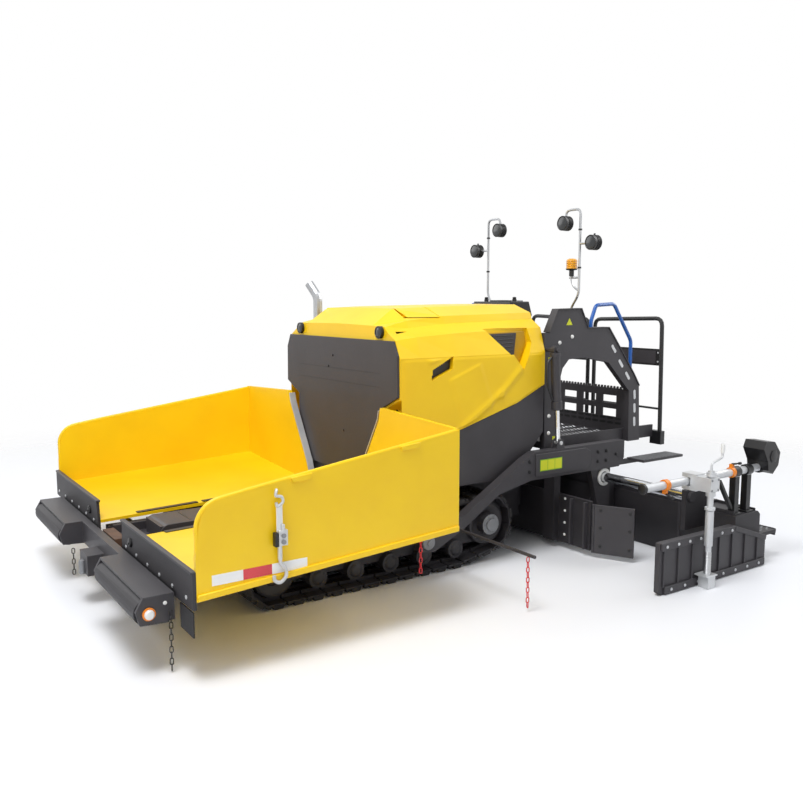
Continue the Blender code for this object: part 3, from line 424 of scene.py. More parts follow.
# %% [markdown]
# Two short tabs are welded under each rolled edge, for the canopy ropes, and a folded lip stiffens
# the wall's lower edge. Each side also carries a strip of white and red tape low at its front
# corner, so that the machine is seen from the road.
# Tape is a fraction of a millimetre thick, drawn here as one millimetre so that it has an edge.

# %% Tabs and reflective tape
LIP_X = HOPPER_HALF + 0.014
BANDS = ((0.085, 0.262, TAPE_WHITE), (0.262, 0.432, TAPE_RED), (0.432, 0.650, TAPE_WHITE))
for name, side in SIDES:
    parts = []
    for start, end in ((0.551, 0.688), (1.285, 1.433)):
        low_z = top_edge((start + end) / 2)
        outline = [(start, low_z - 0.006), (start + 0.012, low_z - 0.034),
                   (end - 0.012, low_z - 0.030), (end, low_z + 0.008)]
        parts.append(side_plate(outline, side * (HOPPER_HALF - 0.004), side * LIP_X))
    lip = [(s, 0.462 + 0.061 * s + rise)
           for s, rise in ((0.004, 0), (1.735, 0), (1.735, 0.034), (0.004, 0.034))]
    parts.append(side_plate(lip, side * (HOPPER_HALF - 0.004), side * LIP_X))
    make(f"wing_tabs_{name}", parts, ENAMEL, f"wing_{name}", ease_mm=4)
    for i, (start, end, material) in enumerate(BANDS):
        outline = [(start, 0.530), (end, 0.530), (end, 0.588), (start, 0.588)]
        make(f"tape_{name}_{i}", [side_plate(outline, side * (HOPPER_HALF - 0.001),
                                             side * (HOPPER_HALF + 0.0015))],
             material, f"wing_{name}")
print("tape on both sides")

# %% [markdown]
# A strap tightener hangs on the near wing for tying the wing up on the road: a small hook on a
# ring, a pale strap, a ratchet with its drum, and a lower hook on a rod. The hooks are tubes swept
# along a curve through a few given points.

# %% Strap tightener
hang = HOPPER_HALF + 0.026
column = 0.470
body = "wing_left"
upper = smooth_path([at(hang + dx, column + ds, z) for dx, ds, z in (
    (-0.028, -0.004, 1.000), (0.002, -0.016, 1.004), (0.006, -0.022, 0.976),
    (0.004, 0.012, 0.966), (0.004, 0.020, 0.936), (0, -0.010, 0.914), (0, -0.018, 0.936))], 8)
lower = smooth_path([at(hang, column, 0.640), at(hang, column + 0.004, 0.590),
                     at(hang, column + 0.030, 0.560), at(hang, column + 0.034, 0.515),
                     at(hang, column, 0.484), at(hang, column - 0.034, 0.500),
                     at(hang, column - 0.038, 0.528)], 8)
make("tightener_hooks", [sweep_arrays(upper, circle(0.0085, 10)),
                         sweep_arrays(lower, circle(0.0105, 10)),
                         sweep_arrays([at(hang, column, 0.700), at(hang, column, 0.615)],
                                      circle(0.013, 12))], ZINC, body)
make("tightener_strap", [box_arrays((hang - 0.003, hang + 0.003),
                                    (column - 0.018, column + 0.018), (0.770, 0.925))],
     WHITE, body, ease_mm=1)
make("tightener_ratchet", [box_arrays((hang - 0.016, hang + 0.022),
                                      (column - 0.012, column + 0.040), (0.694, 0.782)),
                           box_arrays((hang - 0.010, hang + 0.028),
                                      (column + 0.004, column + 0.020), (0.760, 0.815))],
     ZINC, body, ease_mm=3)
make("tightener_side", [box_arrays((hang - 0.018, hang + 0.018),
                                   (column - 0.034, column - 0.012), (0.690, 0.768))],
     BLACK, body, ease_mm=3)
make("tightener_drums", [turned_arrays(at(hang - 0.020, column + 0.012, z), (1, 0, 0),
                                       [(0, 0.006), (0, 0.013), (0.052, 0.013), (0.052, 0.006)],
                                       18) for z in (0.716, 0.752)], CAST, body)
print("tightener hangs at station", column)

# %% [markdown]
# ## Aprons, push rollers and chains
#
# The aprons are dark plates, held by a row of bolts along the bottom and one large round boss.
# The rollers turn on a cheek plate; outside it an orange ring and a white cap mark the end of the
# shaft.

# %% Bolts and bosses on the aprons
for name, side in SIDES:
    places = [at(side * x, -0.0155, 0.462) for x in (0.40, 0.62, 0.84, 1.06, 1.28, 1.50)]
    bolts(f"apron_bolts_{name}", places, (0, -1, 0), 0.012, ZINC, f"wing_{name}")
    boss = turned_arrays(at(side * 0.504, -0.019, 0.515), (0, -1, 0),
                         [(0, 0.030), (0.010, 0.030), (0.016, 0.024), (0.016, 0.012),
                          (0.022, 0.010)], 24)
    make(f"apron_boss_{name}", [boss], BLACK, f"wing_{name}")
    lip = box_arrays((side * 0.30, side * 1.59), (-0.026, 0.004), (0.606, 0.622))
    make(f"apron_lip_{name}", [lip], SATIN, f"wing_{name}", ease_mm=3)

# %% Roller ends
cheek_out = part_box("push_beam")[1][0]
_, roller_y, roller_z = np.mean(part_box("push_roller_left"), 0)
roller_station = roller_y - FRONT
for name, side in SIDES:
    start = at(side * (cheek_out - 0.001), roller_station, roller_z)
    make(f"roller_ring_{name}", [turned_arrays(start, (side, 0, 0), [
        (0, 0.026), (0, 0.036), (0.010, 0.036), (0.010, 0.026)], 28)], ORANGE, "push_beam")
    make(f"roller_cap_{name}", [turned_arrays(start, (side, 0, 0), [
        (0, 0.027), (0.020, 0.027), (0.028, 0.021), (0.030, 0.010)], 28)], WHITE, "push_beam")
    bolts(f"cheek_bolt_{name}", [at(side * (cheek_out - 0.001), -0.085, roller_z + 0.045)],
          (side, 0, 0), 0.009, WHITE, "push_beam")
print("rollers capped")

# %% [markdown]
# Chains hang from the beam and from the frame. A link is a bar bent to a stadium and welded shut;
# each next link is turned a quarter. A link 44 mm long made of 7 mm bar advances 30 mm.

# %% Chain helper and chains
def link_arrays(centre, down, across, length=0.044, width=0.026, bar=0.0036):
    """One closed link: a stadium swept with a round bar."""
    half, bend = length / 2 - width / 2, width / 2 - bar
    turn = np.linspace(0, 2 * math.pi, 16, endpoint=False)
    run = bend * np.cos(turn) + np.where(np.cos(turn) > 0, half, -half)
    wide = bend * np.sin(turn)
    path = np.asarray(centre) + run[:, None] * down + wide[:, None] * across
    return sweep_arrays(path, circle(bar, 6), closed=True)


def chain(name, points, material, body, pitch=0.031):
    """Links spaced evenly along a line of points, each turned a quarter from the last."""
    path = smooth_path(points, 14) if len(points) > 2 else np.asarray(points, float)
    steps = np.linalg.norm(np.diff(path, axis=0), axis=1)
    reach = np.concatenate([[0], np.cumsum(steps)])
    count = int(reach[-1] / pitch)
    spots = np.linspace(pitch / 2, reach[-1] - pitch / 2, count)
    centres = np.stack([np.interp(spots, reach, path[:, k]) for k in range(3)], -1)
    parts = []
    for i, centre in enumerate(centres):
        down = centres[min(i + 1, count - 1)] - centres[max(i - 1, 0)]
        down /= np.linalg.norm(down)
        first = np.cross(down, (0.3, 1, 0.1) if i % 2 else (1, -0.3, 0.1))
        parts.append(link_arrays(centre, down, first / np.linalg.norm(first)))
    make(name, parts, material, body)
    return count


links = chain("chain_front_left", [at(cheek_out + 0.016, -0.060, 0.350),
                                   at(cheek_out + 0.016, -0.064, 0.012)], BLACK,
              "push_beam")
links += chain("chain_front_right", [at(-0.200, -0.215, 0.330), at(-0.200, -0.215, 0.150)], BLACK,
               "push_beam")
links += chain("chain_red_arm", [at(1.800, 2.157, 0.368), at(1.800, 2.160, 0.030)], RED, "screed")
links += chain("chain_red_frame", [at(1.420, 1.570, 0.505), at(1.420, 1.570, 0.270)], RED,
               "wing_left")
print(links, "links")

# %% Rubber flap, front hook and stub
make("rubber_flap", [box_arrays((1.375, 1.575), (-0.015, -0.006), (0.255, 0.395))], RUBBER,
     "wing_left", ease_mm=2)
nose_pin = turned_arrays(at(0, -0.205, 0.300), (0, 0, -1), [(0, 0.022), (0.09, 0.022)], 16)
make("tow_pin", [nose_pin], CAST, "push_beam")
make("front_sticker", [box_arrays((-0.148, -0.098), (-0.0275, -0.0255), (0.262, 0.345))], LABEL,
     "chassis")

# %% [markdown]
# Between the wings the conveyor rises from a rounded cover. Two drag chains pull scraper bars over
# its floor, and black strips of belting cover the hinges beside each wing.

# %% Conveyor chains, bars and hinge strips
parts = []
for side in (1, -1):
    parts.append(box_arrays((side * 0.195, side * 0.215), (0.82, 3.24), (0.384, 0.394)))
for station in np.linspace(0.88, 3.20, 18):
    parts.append(box_arrays((-0.20, 0.20), (station, station + 0.022), (0.384, 0.393)))
make("conveyor_bars", parts, CAST, "chassis")
for name, side in SIDES:
    strips = [sweep_arrays([at(side * 0.314, s, 0.487 + 0.028 * s) for s in span],
                           [(-0.022, -0.003), (0.022, -0.003), (0.022, 0.003), (-0.022, 0.003)])
              for span in ((0.26, 0.72), (0.76, 1.12), (1.20, 1.66))]
    make(f"hinge_strips_{name}", strips, BLACK, f"wing_{name}")
turn = np.radians(np.linspace(90, 270, 13))
cover = [(0.34 + 0.06 * math.cos(a), 0.445 + 0.055 * math.sin(a)) for a in turn]
cover += [(0.84, 0.390), (0.84, 0.470), (0.74, 0.500)]
make("drum_cover", [side_plate(cover, -0.170, 0.170)], PANEL, "chassis", ease_mm=3)
make("drum_slit", [box_arrays((-0.125, 0.125), (0.50, 0.512), (0.498, 0.5015))], BLACK, "chassis")
print("conveyor dressed")

# %% [markdown]
# ## Tracks
#
# A track is a closed chain of links with a shoe bolted to each, and here every shoe carries two
# rubber pads. The chain lies taut round the idler, a tail roller and the sprocket, so its path
# is three arcs joined by three straight runs. One shoe is modelled, and copied along that path.

# %% The taut path of a track
track_low, track_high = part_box("track_left")
WHEELS = np.array(((0.820, 0.220, 0.220), (2.340, 0.140, 0.140), (2.640, 0.300, 0.240)))
SHOES = 34
FULL = 2 * math.pi


def taut_path():
    """Lengths, points and normals round the wheels: arcs on each, tangents between them."""
    after = np.roll(WHEELS, -1, 0)
    gap = after[:, :2] - WHEELS[:, :2]
    span = np.hypot(*gap.T)
    normal = np.arctan2(gap[:, 1], gap[:, 0]) - np.arccos((WHEELS[:, 2] - after[:, 2]) / span)
    rows = []
    for i, (y, z, r) in enumerate(WHEELS):
        first, last = normal[i - 1], normal[i]
        last += FULL * math.ceil((first - last) / FULL)
        angles = np.linspace(first, last, 60)
        rows.append(np.stack([y + r * np.cos(angles), z + r * np.sin(angles), angles], -1))
        y2, z2, r2 = after[i]
        run = np.linspace(0, 1, 20)[1:-1, None]
        start = np.array((y + r * math.cos(last), z + r * math.sin(last)))
        end = np.array((y2 + r2 * math.cos(last), z2 + r2 * math.sin(last)))
        rows.append(np.hstack([start + (end - start) * run, np.full((18, 1), last)]))
    return rows


def along_track(shoes):
    """Where each shoe's middle is, and how it is turned, at equal steps round the path."""
    path = np.vstack(taut_path())
    path[:, 2] = np.unwrap(path[:, 2])
    path = np.vstack([path, path[:1] + (0, 0, FULL)])
    reach = np.concatenate([[0], np.cumsum(np.hypot(*np.diff(path[:, :2], axis=0).T))])
    spots = (np.arange(shoes) + 0.5) * reach[-1] / shoes
    return np.stack([np.interp(spots, reach, path[:, k]) for k in range(3)], -1), reach[-1] / shoes


spots, pitch = along_track(SHOES)
print("shoe pitch", round(pitch * 1000), "mm")

# %% Shoes with pads, bolts and links
inner_x, outer_x = track_low[0], track_high[0]


def shoe_block(across, run, depth, chamfer):
    """A block on a shoe: across the track, along its run, and in from its ground face."""
    (x0, x1), (s0, s1), (d0, d1), c = across, run, depth, chamfer
    corners = [(x0, s0, d1), (x1, s0, d1), (x1, s1, d1), (x0, s1, d1),
               (x0 + c, s0 + c, d0), (x1 - c, s0 + c, d0), (x1 - c, s1 - c, d0),
               (x0 + c, s1 - c, d0)]
    faces = [(0, 1, 2, 3), (7, 6, 5, 4), (0, 4, 5, 1), (1, 5, 6, 2), (2, 6, 7, 3), (3, 7, 4, 0)]
    return np.array(corners, float), [list(f) for f in faces]


middle = (inner_x + outer_x) / 2
half = pitch * 0.46
PADS = [shoe_block((inner_x, middle - 0.008), (-half * 0.78, half * 0.30), (0.0, 0.026), 0.006),
        shoe_block((middle + 0.008, outer_x), (-half * 0.30, half * 0.78), (0.0, 0.026), 0.006),
        shoe_block((inner_x + 0.01, middle - 0.05), (half * 0.48, half * 0.90), (0.006, 0.026),
                   0.004),
        shoe_block((middle + 0.05, outer_x - 0.01), (-half * 0.90, -half * 0.48), (0.006, 0.026),
                   0.004)]
PLATES = [shoe_block((inner_x + 0.004, outer_x - 0.004), (-half, half), (0.026, 0.040), 0.002)]
LINKS = [shoe_block((middle + x - 0.014, middle + x + 0.014), (-half * 1.05, half * 0.95),
                    (0.040, 0.064), 0.003) for x in (-0.055, 0.055)]


def laid(blocks, side):
    """Copies blocks to every shoe's place: in along the normal, round by its angle."""
    parts = []
    for y, z, angle in spots:
        out = np.array((math.cos(angle), math.sin(angle)))
        run = np.array((-out[1], out[0]))
        for corners, faces in blocks:
            flat = (np.array((y, z)) - corners[:, 2:3] * out + corners[:, 1:2] * run)
            points = np.column_stack([side * corners[:, 0], FRONT + flat[:, 0], flat[:, 1]])
            parts.append((points, faces))
    return parts


for name, side in SIDES:
    pads = make(f"track_pads_{name}", laid(PADS, side), RUBBER, "chassis", slot="rubber")
    make(f"track_shoes_{name}", laid(PLATES, side), DARK, "chassis")
    make(f"track_links_{name}", laid(LINKS, side), DARK, "chassis")
    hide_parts(f"track_{name}")
print(2 * SHOES, "shoes laid")

# %% [markdown]
# Inside the loop, the idler and the sprocket are dished wheels, the lower rollers are flanged, and
# the drive hub stands out with its ring of bolts.

# %% Wheels, rollers and hub
for name, side in SIDES:
    face = side * (outer_x - 0.058)
    parts = []
    for i, radius in ((0, 0.145), (2, 0.165)):
        y, z, _ = WHEELS[i]
        parts.append(turned_arrays(at(face, y, z), (side, 0, 0), [
            (-0.01, radius * 0.55), (0.0, radius), (0.012, radius), (0.016, radius * 0.90),
            (0.004, radius * 0.78), (0.002, radius * 0.50), (0.022, radius * 0.42),
            (0.028, radius * 0.30), (0.028, 0.004)], 36))
    for station in np.linspace(1.15, 2.34, 5):
        parts.append(turned_arrays(at(face, station, 0.140), (side, 0, 0), [
            (-0.02, 0.030), (0.006, 0.070), (0.014, 0.070), (0.016, 0.050), (0.024, 0.044),
            (0.030, 0.026), (0.030, 0.003)], 24))
    make(f"wheel_faces_{name}", parts, DARK, "chassis")
    y, z, _ = WHEELS[2]
    hub_x = side * (outer_x + 0.010)
    hub = turned_arrays(at(hub_x, y, z), (side, 0, 0), [
        (-0.02, 0.078), (0.004, 0.080), (0.010, 0.074), (0.010, 0.052), (0.022, 0.048),
        (0.024, 0.030), (0.024, 0.004)], 32)
    turn = np.linspace(0, 2 * math.pi, 10, endpoint=False)
    bolt_parts = [part for a in turn for part in bolt_arrays(
        at(hub_x + side * 0.009, y + 0.063 * math.cos(a), z + 0.063 * math.sin(a)),
        (side, 0, 0), 0.0065)]
    make(f"drive_hub_{name}", [hub] + bolt_parts, CAST, "chassis")
print("wheels faced")

# %% [markdown]
# ## The hood
#
# The hood is moulded, with creases that catch the light: a window slot, a fold that falls forward
# from it, and a deep scoop before the arch. A crease is drawn here as a low ridge, a few
# millimetres high, whose height falls off smoothly to either side; the scoop's mouth lies inside
# it, its lining darkened with painted shade.

# %% Hood side surface
side_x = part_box("hood")[1][0]


def ridge(s, z, start, end, width, height):
    """Height of a rounded ridge along a line: a bell curve of the distance from the line."""
    start, end = np.array(start), np.array(end)
    along = end - start
    share = np.clip(((s - start[0]) * along[0] + (z - start[1]) * along[1]) / along.dot(along),
                    0, 1)
    gap = np.hypot(s - start[0] - share * along[0], z - start[1] - share * along[1])
    return height * np.exp(-(gap / width) ** 2)


def step(s, z, start, end, width, height):
    """A fold: the surface stands higher on one side of a line than on the other."""
    start, end = np.array(start), np.array(end)
    along = (end - start) / np.linalg.norm(end - start)
    gap = (s - start[0]) * -along[1] + (z - start[1]) * along[0]
    share = ((s - start[0]) * along[0] + (z - start[1]) * along[1]) / np.linalg.norm(end - start)
    window = np.clip(np.minimum(share, 1 - share) / 0.12 + 0.5, 0, 1)
    return height * window / (1 + np.exp(-gap / width))


sill_s = np.array((1.790, 2.350, 2.900, 3.185))
sill_z = np.array((0.950, 1.075, 1.235, 1.365))


def hood_side_height(s, z):
    """How far the moulded skin stands off the flat side, in metres."""
    skin = 0.0035 + step(s, z, (2.05, 1.57), (2.44, 1.705), 0.004, 0.007)
    skin += step(s, z, (2.52, 1.56), (2.23, 1.45), 0.004, 0.006)
    skin += ridge(s, z, (2.92, 1.49), (2.72, 1.307), 0.030, 0.010)
    skin += ridge(s, z, (2.72, 1.307), (2.36, 1.085), 0.030, 0.012)
    skin += step(s, z, (2.72, 1.307), (2.36, 1.085), 0.006, -0.008)
    return np.clip(skin, 0.001, 0.016)


def hood_side(side):
    """A grid over the flat of the hood's side, from the sill up to the shoulder."""
    s, share = np.meshgrid(np.linspace(1.805, 3.172, 170), np.linspace(0, 1, 80), indexing="ij")
    bottom = np.maximum(np.interp(s, sill_s, sill_z) + 0.006, 1.02)
    top = np.full_like(s, 1.612)
    z = bottom + (top - bottom) * share
    skin = hood_side_height(s, z)
    edge = np.minimum.reduce([share * 8, (1 - share) * 8, (s - 1.805) * 8, (3.172 - s) * 8])
    skin = skin * np.clip(edge * 4, 0, 1)
    x = side * (side_x + skin)
    outer_face = np.stack([x, FRONT + s, z], -1)
    inner_face = outer_face.copy()
    inner_face[..., 0] = side * (side_x - 0.003)
    rows, columns = s.shape
    i, j = np.meshgrid(np.arange(rows - 1), np.arange(columns - 1), indexing="ij")
    front_quads = np.stack([i * columns + j, (i + 1) * columns + j, (i + 1) * columns + j + 1,
                            i * columns + j + 1], -1).reshape(-1, 4)
    mid = (s[:-1, :-1] + s[1:, 1:]) / 2, (z[:-1, :-1] + z[1:, 1:]) / 2
    return outer_face, inner_face, front_quads, mid


def in_shape(s, z, outline):
    """Whether points lie inside an outline, by counting the edges crossed to one side."""
    inside = np.zeros(s.shape, bool)
    for (s0, z0), (s1, z1) in zip(outline, outline[1:] + outline[:1]):
        crosses = (z0 > z) != (z1 > z)
        where = s0 + (z - z0) * (s1 - s0) / (z1 - z0 if z1 != z0 else 1e-9)
        inside ^= crosses & (s < where)
    return inside


SCOOP = [(2.600, 1.9), (3.040, 1.9), (3.060, 1.70), (2.960, 1.490)]
SLOT = [(2.060, 1.450), (2.075, 1.530), (2.265, 1.625), (2.255, 1.530)]
for name, side in SIDES:
    outer_face, inner_face, quads, (mid_s, mid_z) = hood_side(side)
    keep = ~(in_shape(mid_s, mid_z, SCOOP) | in_shape(mid_s, mid_z, SLOT)).ravel()
    count = outer_face.shape[0] * outer_face.shape[1]
    kept = quads[keep]
    pairs = np.concatenate([kept[:, [0, 1]], kept[:, [1, 2]], kept[:, [2, 3]], kept[:, [3, 0]]])
    keys = set(map(tuple, pairs.tolist()))
    rim = np.array([p for p in keys if (p[1], p[0]) not in keys])
    walls = np.stack([rim[:, 1], rim[:, 0], rim[:, 0] + count, rim[:, 1] + count], -1)
    faces = np.concatenate([kept, kept[:, ::-1] + count, walls]).tolist()
    points = np.concatenate([outer_face.reshape(-1, 3), inner_face.reshape(-1, 3)])
    used = np.unique(np.array(faces))
    renumber = np.zeros(len(points), int)
    renumber[used] = np.arange(len(used))
    piece = surface(f"hood_side_{name}", points[used], renumber[np.array(faces)].tolist(), ENAMEL,
                    "chassis", slot="yellow")
    outward(piece)
print("hood sides moulded")

# %% Window slot lining, and scoop linings in painted shade
for name, side in SIDES:
    centre = np.mean(SLOT, 0)
    ring = [(FRONT + s + (centre[0] - s) * 0.03, z + (centre[1] - z) * 0.03) for s, z in SLOT]
    span = side * (side_x - 0.045), side * (side_x - 0.033)
    make(f"hood_slot_lining_{name}", [plate_arrays(ring, "X", *span)], BLACK, "chassis")
    # The scoop's back wall takes the darker enamel: painted shade for the shadow inside the scoop.
    mouth = [(2.628, 1.780), (3.020, 1.790), (3.040, 1.700), (2.958, 1.520)]
    span = side * (side_x - 0.082), side * (side_x - 0.070)
    make(f"scoop_lining_{name}", [side_plate(mouth, *span)],
         ENAMEL_PAINTED_SHADE, "chassis", ease_mm=3)
    # The dark plate over the upper front of the mouth is painted shade too: it stands for the
    # deepest shadow under the scoop's top.
    shaded_mouth = [(2.650, 1.772), (2.930, 1.778), (2.905, 1.560), (2.850, 1.575)]
    span = side * (side_x - 0.072), side * (side_x - 0.060)
    make(f"scoop_painted_shade_{name}", [side_plate(shaded_mouth, *span)],
         PANEL, "chassis", ease_mm=3)
    slats = []
    for z in np.linspace(1.610, 1.755, 6):
        front = np.interp(z, (1.575, 1.772), (2.860, 2.668))
        slats.append(sweep_arrays([at(side * (side_x - 0.060), front, z),
                                   at(side * (side_x - 0.060), 2.895, z + 0.004)],
                                  circle(0.004, 6)))
    make(f"scoop_slats_{name}", slats, BLACK, "chassis")
print("scoops lined")

# %% Headlamps, front panel lines and latches
for name, side in SIDES:
    lamp_at = at(side * 0.612, 1.800, 1.800)
    bowl = turned_arrays(lamp_at, (0, -1, 0), [(-0.030, 0.036), (-0.020, 0.043), (0.030, 0.046),
                                               (0.036, 0.045), (0.037, 0.038), (0.032, 0.036),
                                               (0.028, 0.004)], 28)
    make(f"headlamp_{name}", [bowl], BLACK, "chassis")
    lens = turned_arrays(lamp_at, (0, -1, 0), [(0.024, 0.036), (0.033, 0.035), (0.037, 0.020),
                                               (0.038, 0.002)], 28)
    make(f"headlamp_lens_{name}", [lens], GLASS, "chassis")
panel_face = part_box("front_panel")[0][1] - FRONT
seams = [box_arrays((-0.62, 0.62), (panel_face - 0.0012, panel_face + 0.001), (z, z + 0.0025))
         for z in (1.40, 1.50)]
make("front_panel_seams", seams, DARK, "chassis")
bolts("front_panel_latches", [at(x, panel_face + 0.001, z) for x, z in (
    (-0.06, 1.60), (-0.13, 1.51), (0.10, 1.02))], (0, -1, 0), 0.008, BLACK, "chassis")
print("hood trimmed")

# %% Exhaust lip
foot = at(-0.762, 2.025, 1.840)
make("exhaust_collar", [turned_arrays(foot, (0, 0, 1), [
    (-0.030, 0.044), (-0.030, 0.062), (0.012, 0.058), (0.020, 0.044)], 28)], BLACK, "chassis")
print("exhaust collared")

# %% [markdown]
# A bare aluminium strip guards the slanted inner edge of each wing's rear wall from the hot mix.

# %% Splash strips
edge = [(0.700, 1.245), (0.684, 1.178), (0.404, 0.708), (0.368, 0.620)]
face = [(0.706, 1.244), (0.690, 1.175), (0.410, 0.705), (0.374, 0.618)]
for name, side in SIDES:
    outline = [(side * x, z) for x, z in edge + face[::-1]]
    make(f"splash_strip_{name}", [plate_arrays(outline, "Y", FRONT + HOPPER_LENGTH - 0.034,
                                               FRONT + panel_face - 0.008)],
         ZINC, f"wing_{name}", ease_mm=1)
print("strips fitted")

# %% [markdown]
# ## Arches, rails and lamps
#
# The arches are thick cut plate. Two bright bolts hold each to the deck's upright. A row of long
# slots runs down the rear leg, drawn as pale inlays, and small yellow plates are fixed to the face.

# %% Arch bolts, slots and labels
arch_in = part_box("platform")[1][0]
plate_out = arch_in + 0.055
for name, side in SIDES:
    face, under = side * (plate_out - 0.0005), side * (plate_out - 0.001)
    bolts(f"arch_bolts_{name}", [at(face, 3.360, 1.690), at(face, 3.500, 1.735),
                                 at(face, 3.255, 1.100), at(face, 3.255, 0.960)],
          (side, 0, 0), 0.013, WHITE, "chassis")
    slots = []
    for station, z, tilt in ((4.005, 1.620, -0.9), (4.100, 1.490, -0.9), (4.190, 1.380, -0.9),
                             (4.290, 1.210, -1.5), (4.295, 1.090, -1.5), (4.298, 0.970, -1.5)):
        turn = np.linspace(0, 2 * math.pi, 20, endpoint=False)
        run = 0.014 * np.cos(turn) + np.where(np.cos(turn) > 0, 0.028, -0.028)
        wide = 0.014 * np.sin(turn)
        outline = np.stack([FRONT + station + run * math.cos(tilt) - wide * math.sin(tilt),
                            z + run * math.sin(tilt) + wide * math.cos(tilt)], -1)
        slots.append(plate_arrays(outline, "X", under, side * (plate_out + 0.001)))
    make(f"arch_slots_{name}", slots, ZINC, "chassis")
    plates = []
    for (s0, s1), (z0, z1) in (((3.235, 3.320), (1.560, 1.575)), ((3.300, 3.330), (0.860, 0.930))):
        plates.append(side_plate([(s0, z0), (s1, z0), (s1, z1), (s0, z1)], under,
                                 side * (plate_out + 0.0015)))
    plates.append(side_plate([(3.43, 1.83), (3.50, 1.83), (3.465, 1.885)], under,
                             side * (plate_out + 0.0015)))
    make(f"arch_labels_{name}", plates, LABEL, "chassis")
    edge = [(3.240, 1.772), (3.330, 1.955), (3.600, 1.960), (3.685, 1.800), (3.935, 1.800),
            (4.065, 1.643), (4.270, 1.390), (4.345, 1.282)]
    middle_x = side * (arch_in + 0.0278)
    flange = [at(middle_x, s, z + 0.004) for s, z in edge]
    outline = [(-0.036, -0.004), (0.036, -0.004), (0.036, 0.004), (-0.036, 0.004)]
    sweep(f"arch_flange_{name}", flange, outline, SATIN, "chassis")
print("arches trimmed")

# %% [markdown]
# A work lamp is a finned metal bowl behind a clear round lens, held by a small fork. The lamps
# look straight ahead, towards the front. The beacon is a ribbed amber dome on a black foot.

# %% Work lamps
POLE_X, POLE_STATION = 0.600, 3.820
for name, side in SIDES:
    parts, lenses, forks = [], [], []
    for x, z in ((0.430, 2.690), (0.760, 2.510)):
        look, start = np.array((0, -1, 0)), at(side * x, POLE_STATION + 0.036, z)
        bowl = [(-0.008, 0.006), (-0.006, 0.040), (0.004, 0.059)]
        for k in range(4):
            bowl += [(0.008 + 0.013 * k, 0.0635), (0.013 + 0.013 * k, 0.0635),
                     (0.014 + 0.013 * k, 0.0590), (0.020 + 0.013 * k, 0.0590)]
        bowl += [(0.062, 0.062), (0.082, 0.063), (0.086, 0.058), (0.080, 0.053), (0.078, 0.004)]
        parts.append(turned_arrays(start, look, bowl, 32))
        lenses.append(turned_arrays(start, look, [(0.077, 0.052), (0.081, 0.052), (0.085, 0.030),
                                                  (0.087, 0.003)], 28))
        forks.append(sweep_arrays([at(side * x, POLE_STATION, z + 0.052),
                                   at(side * x, POLE_STATION + 0.004, z + 0.075)],
                                  circle(0.008, 8)))
    make(f"lamp_bowls_{name}", parts, BLACK, "chassis")
    make(f"lamp_lenses_{name}", lenses, GLASS, "chassis")
    make(f"lamp_forks_{name}", forks, BLACK, "chassis")
    straps = []
    for z in (2.30, 2.62):
        straps.append(turned_arrays(at(side * POLE_X, POLE_STATION, z), (0, 0, 1), [
            (0, 0.0112), (0.001, 0.0165), (0.014, 0.0165), (0.015, 0.0112)], 16))
    make(f"pole_straps_{name}", straps, BLACK, "chassis")
beacon_low, beacon_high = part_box("beacon")
middle = np.append((np.array(beacon_low[:2]) + beacon_high[:2]) / 2, beacon_low[2])
tall = beacon_high[2] - beacon_low[2]
ribs = [(0.062, 0.030), (0.064, 0.050)]
for k in range(5):
    ribs += [(0.068 + 0.015 * k, 0.050), (0.072 + 0.015 * k, 0.046), (0.078 + 0.015 * k, 0.046)]
ribs += [(tall - 0.006, 0.042), (tall + 0.002, 0.026), (tall + 0.004, 0.003)]
arm = smooth_path([at(x, POLE_STATION, z) for x, z in ((POLE_X, 2.110), (0.540, 2.150),
                                                       (0.512, 2.200), (0.510, 2.245))], 8)
sweep("beacon_arm", arm, circle(0.009, 10), STEEL, "chassis")
dome = make("beacon_dome", [turned_arrays(middle, (0, 0, 1), ribs, 36)], AMBER, "chassis",
            slot="amber")
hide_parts("beacon")
make("beacon_foot", [turned_arrays(middle, (0, 0, 1), [(0, 0.010), (0.001, 0.021), (0.05, 0.021),
                                                       (0.055, 0.046), (0.066, 0.052),
                                                       (0.067, 0.010)], 32)], BLACK, "chassis")
print("lamps hung")

# %% [markdown]
# The console carries the controls: two short levers, a display and rows of push buttons. No seats
# are seen, so the deck stays clear. A guard of slotted sheet with a toothed top closes the deck
# behind.

# %% Console, deck plate and guard
top_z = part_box("console")[1][2]
parts = [turned_arrays(at(x, 3.50, top_z), (0, 0, 1), [(-0.002, 0.020), (0.020, 0.020),
                                                       (0.022, 0.012), (0.024, 0.016),
                                                       (0.034, 0.018), (0.040, 0.010),
                                                       (0.041, 0.002)], 20)
         for x in (-0.24, 0.14)]
make("console_levers", parts, BLACK, "chassis")
make("console_display", [box_arrays((-0.12, 0.04), (3.44, 3.56), (top_z - 0.002, top_z + 0.012))],
     GLASS, "chassis", ease_mm=3)
buttons = [turned_arrays(at(x, s, top_z), (0, 0, 1), [(-0.001, 0.011), (0.007, 0.011),
                                                      (0.010, 0.008), (0.0105, 0.001)], 14)
           for x in np.linspace(-0.20, 0.12, 9) for s in (3.585, 3.605)]
make("console_buttons", buttons, CAST, "chassis")
deck_top = 0.860
grain = np.array(((-0.014, 0), (0, 0.0035), (0.014, 0), (0, -0.0035)))
tread = []
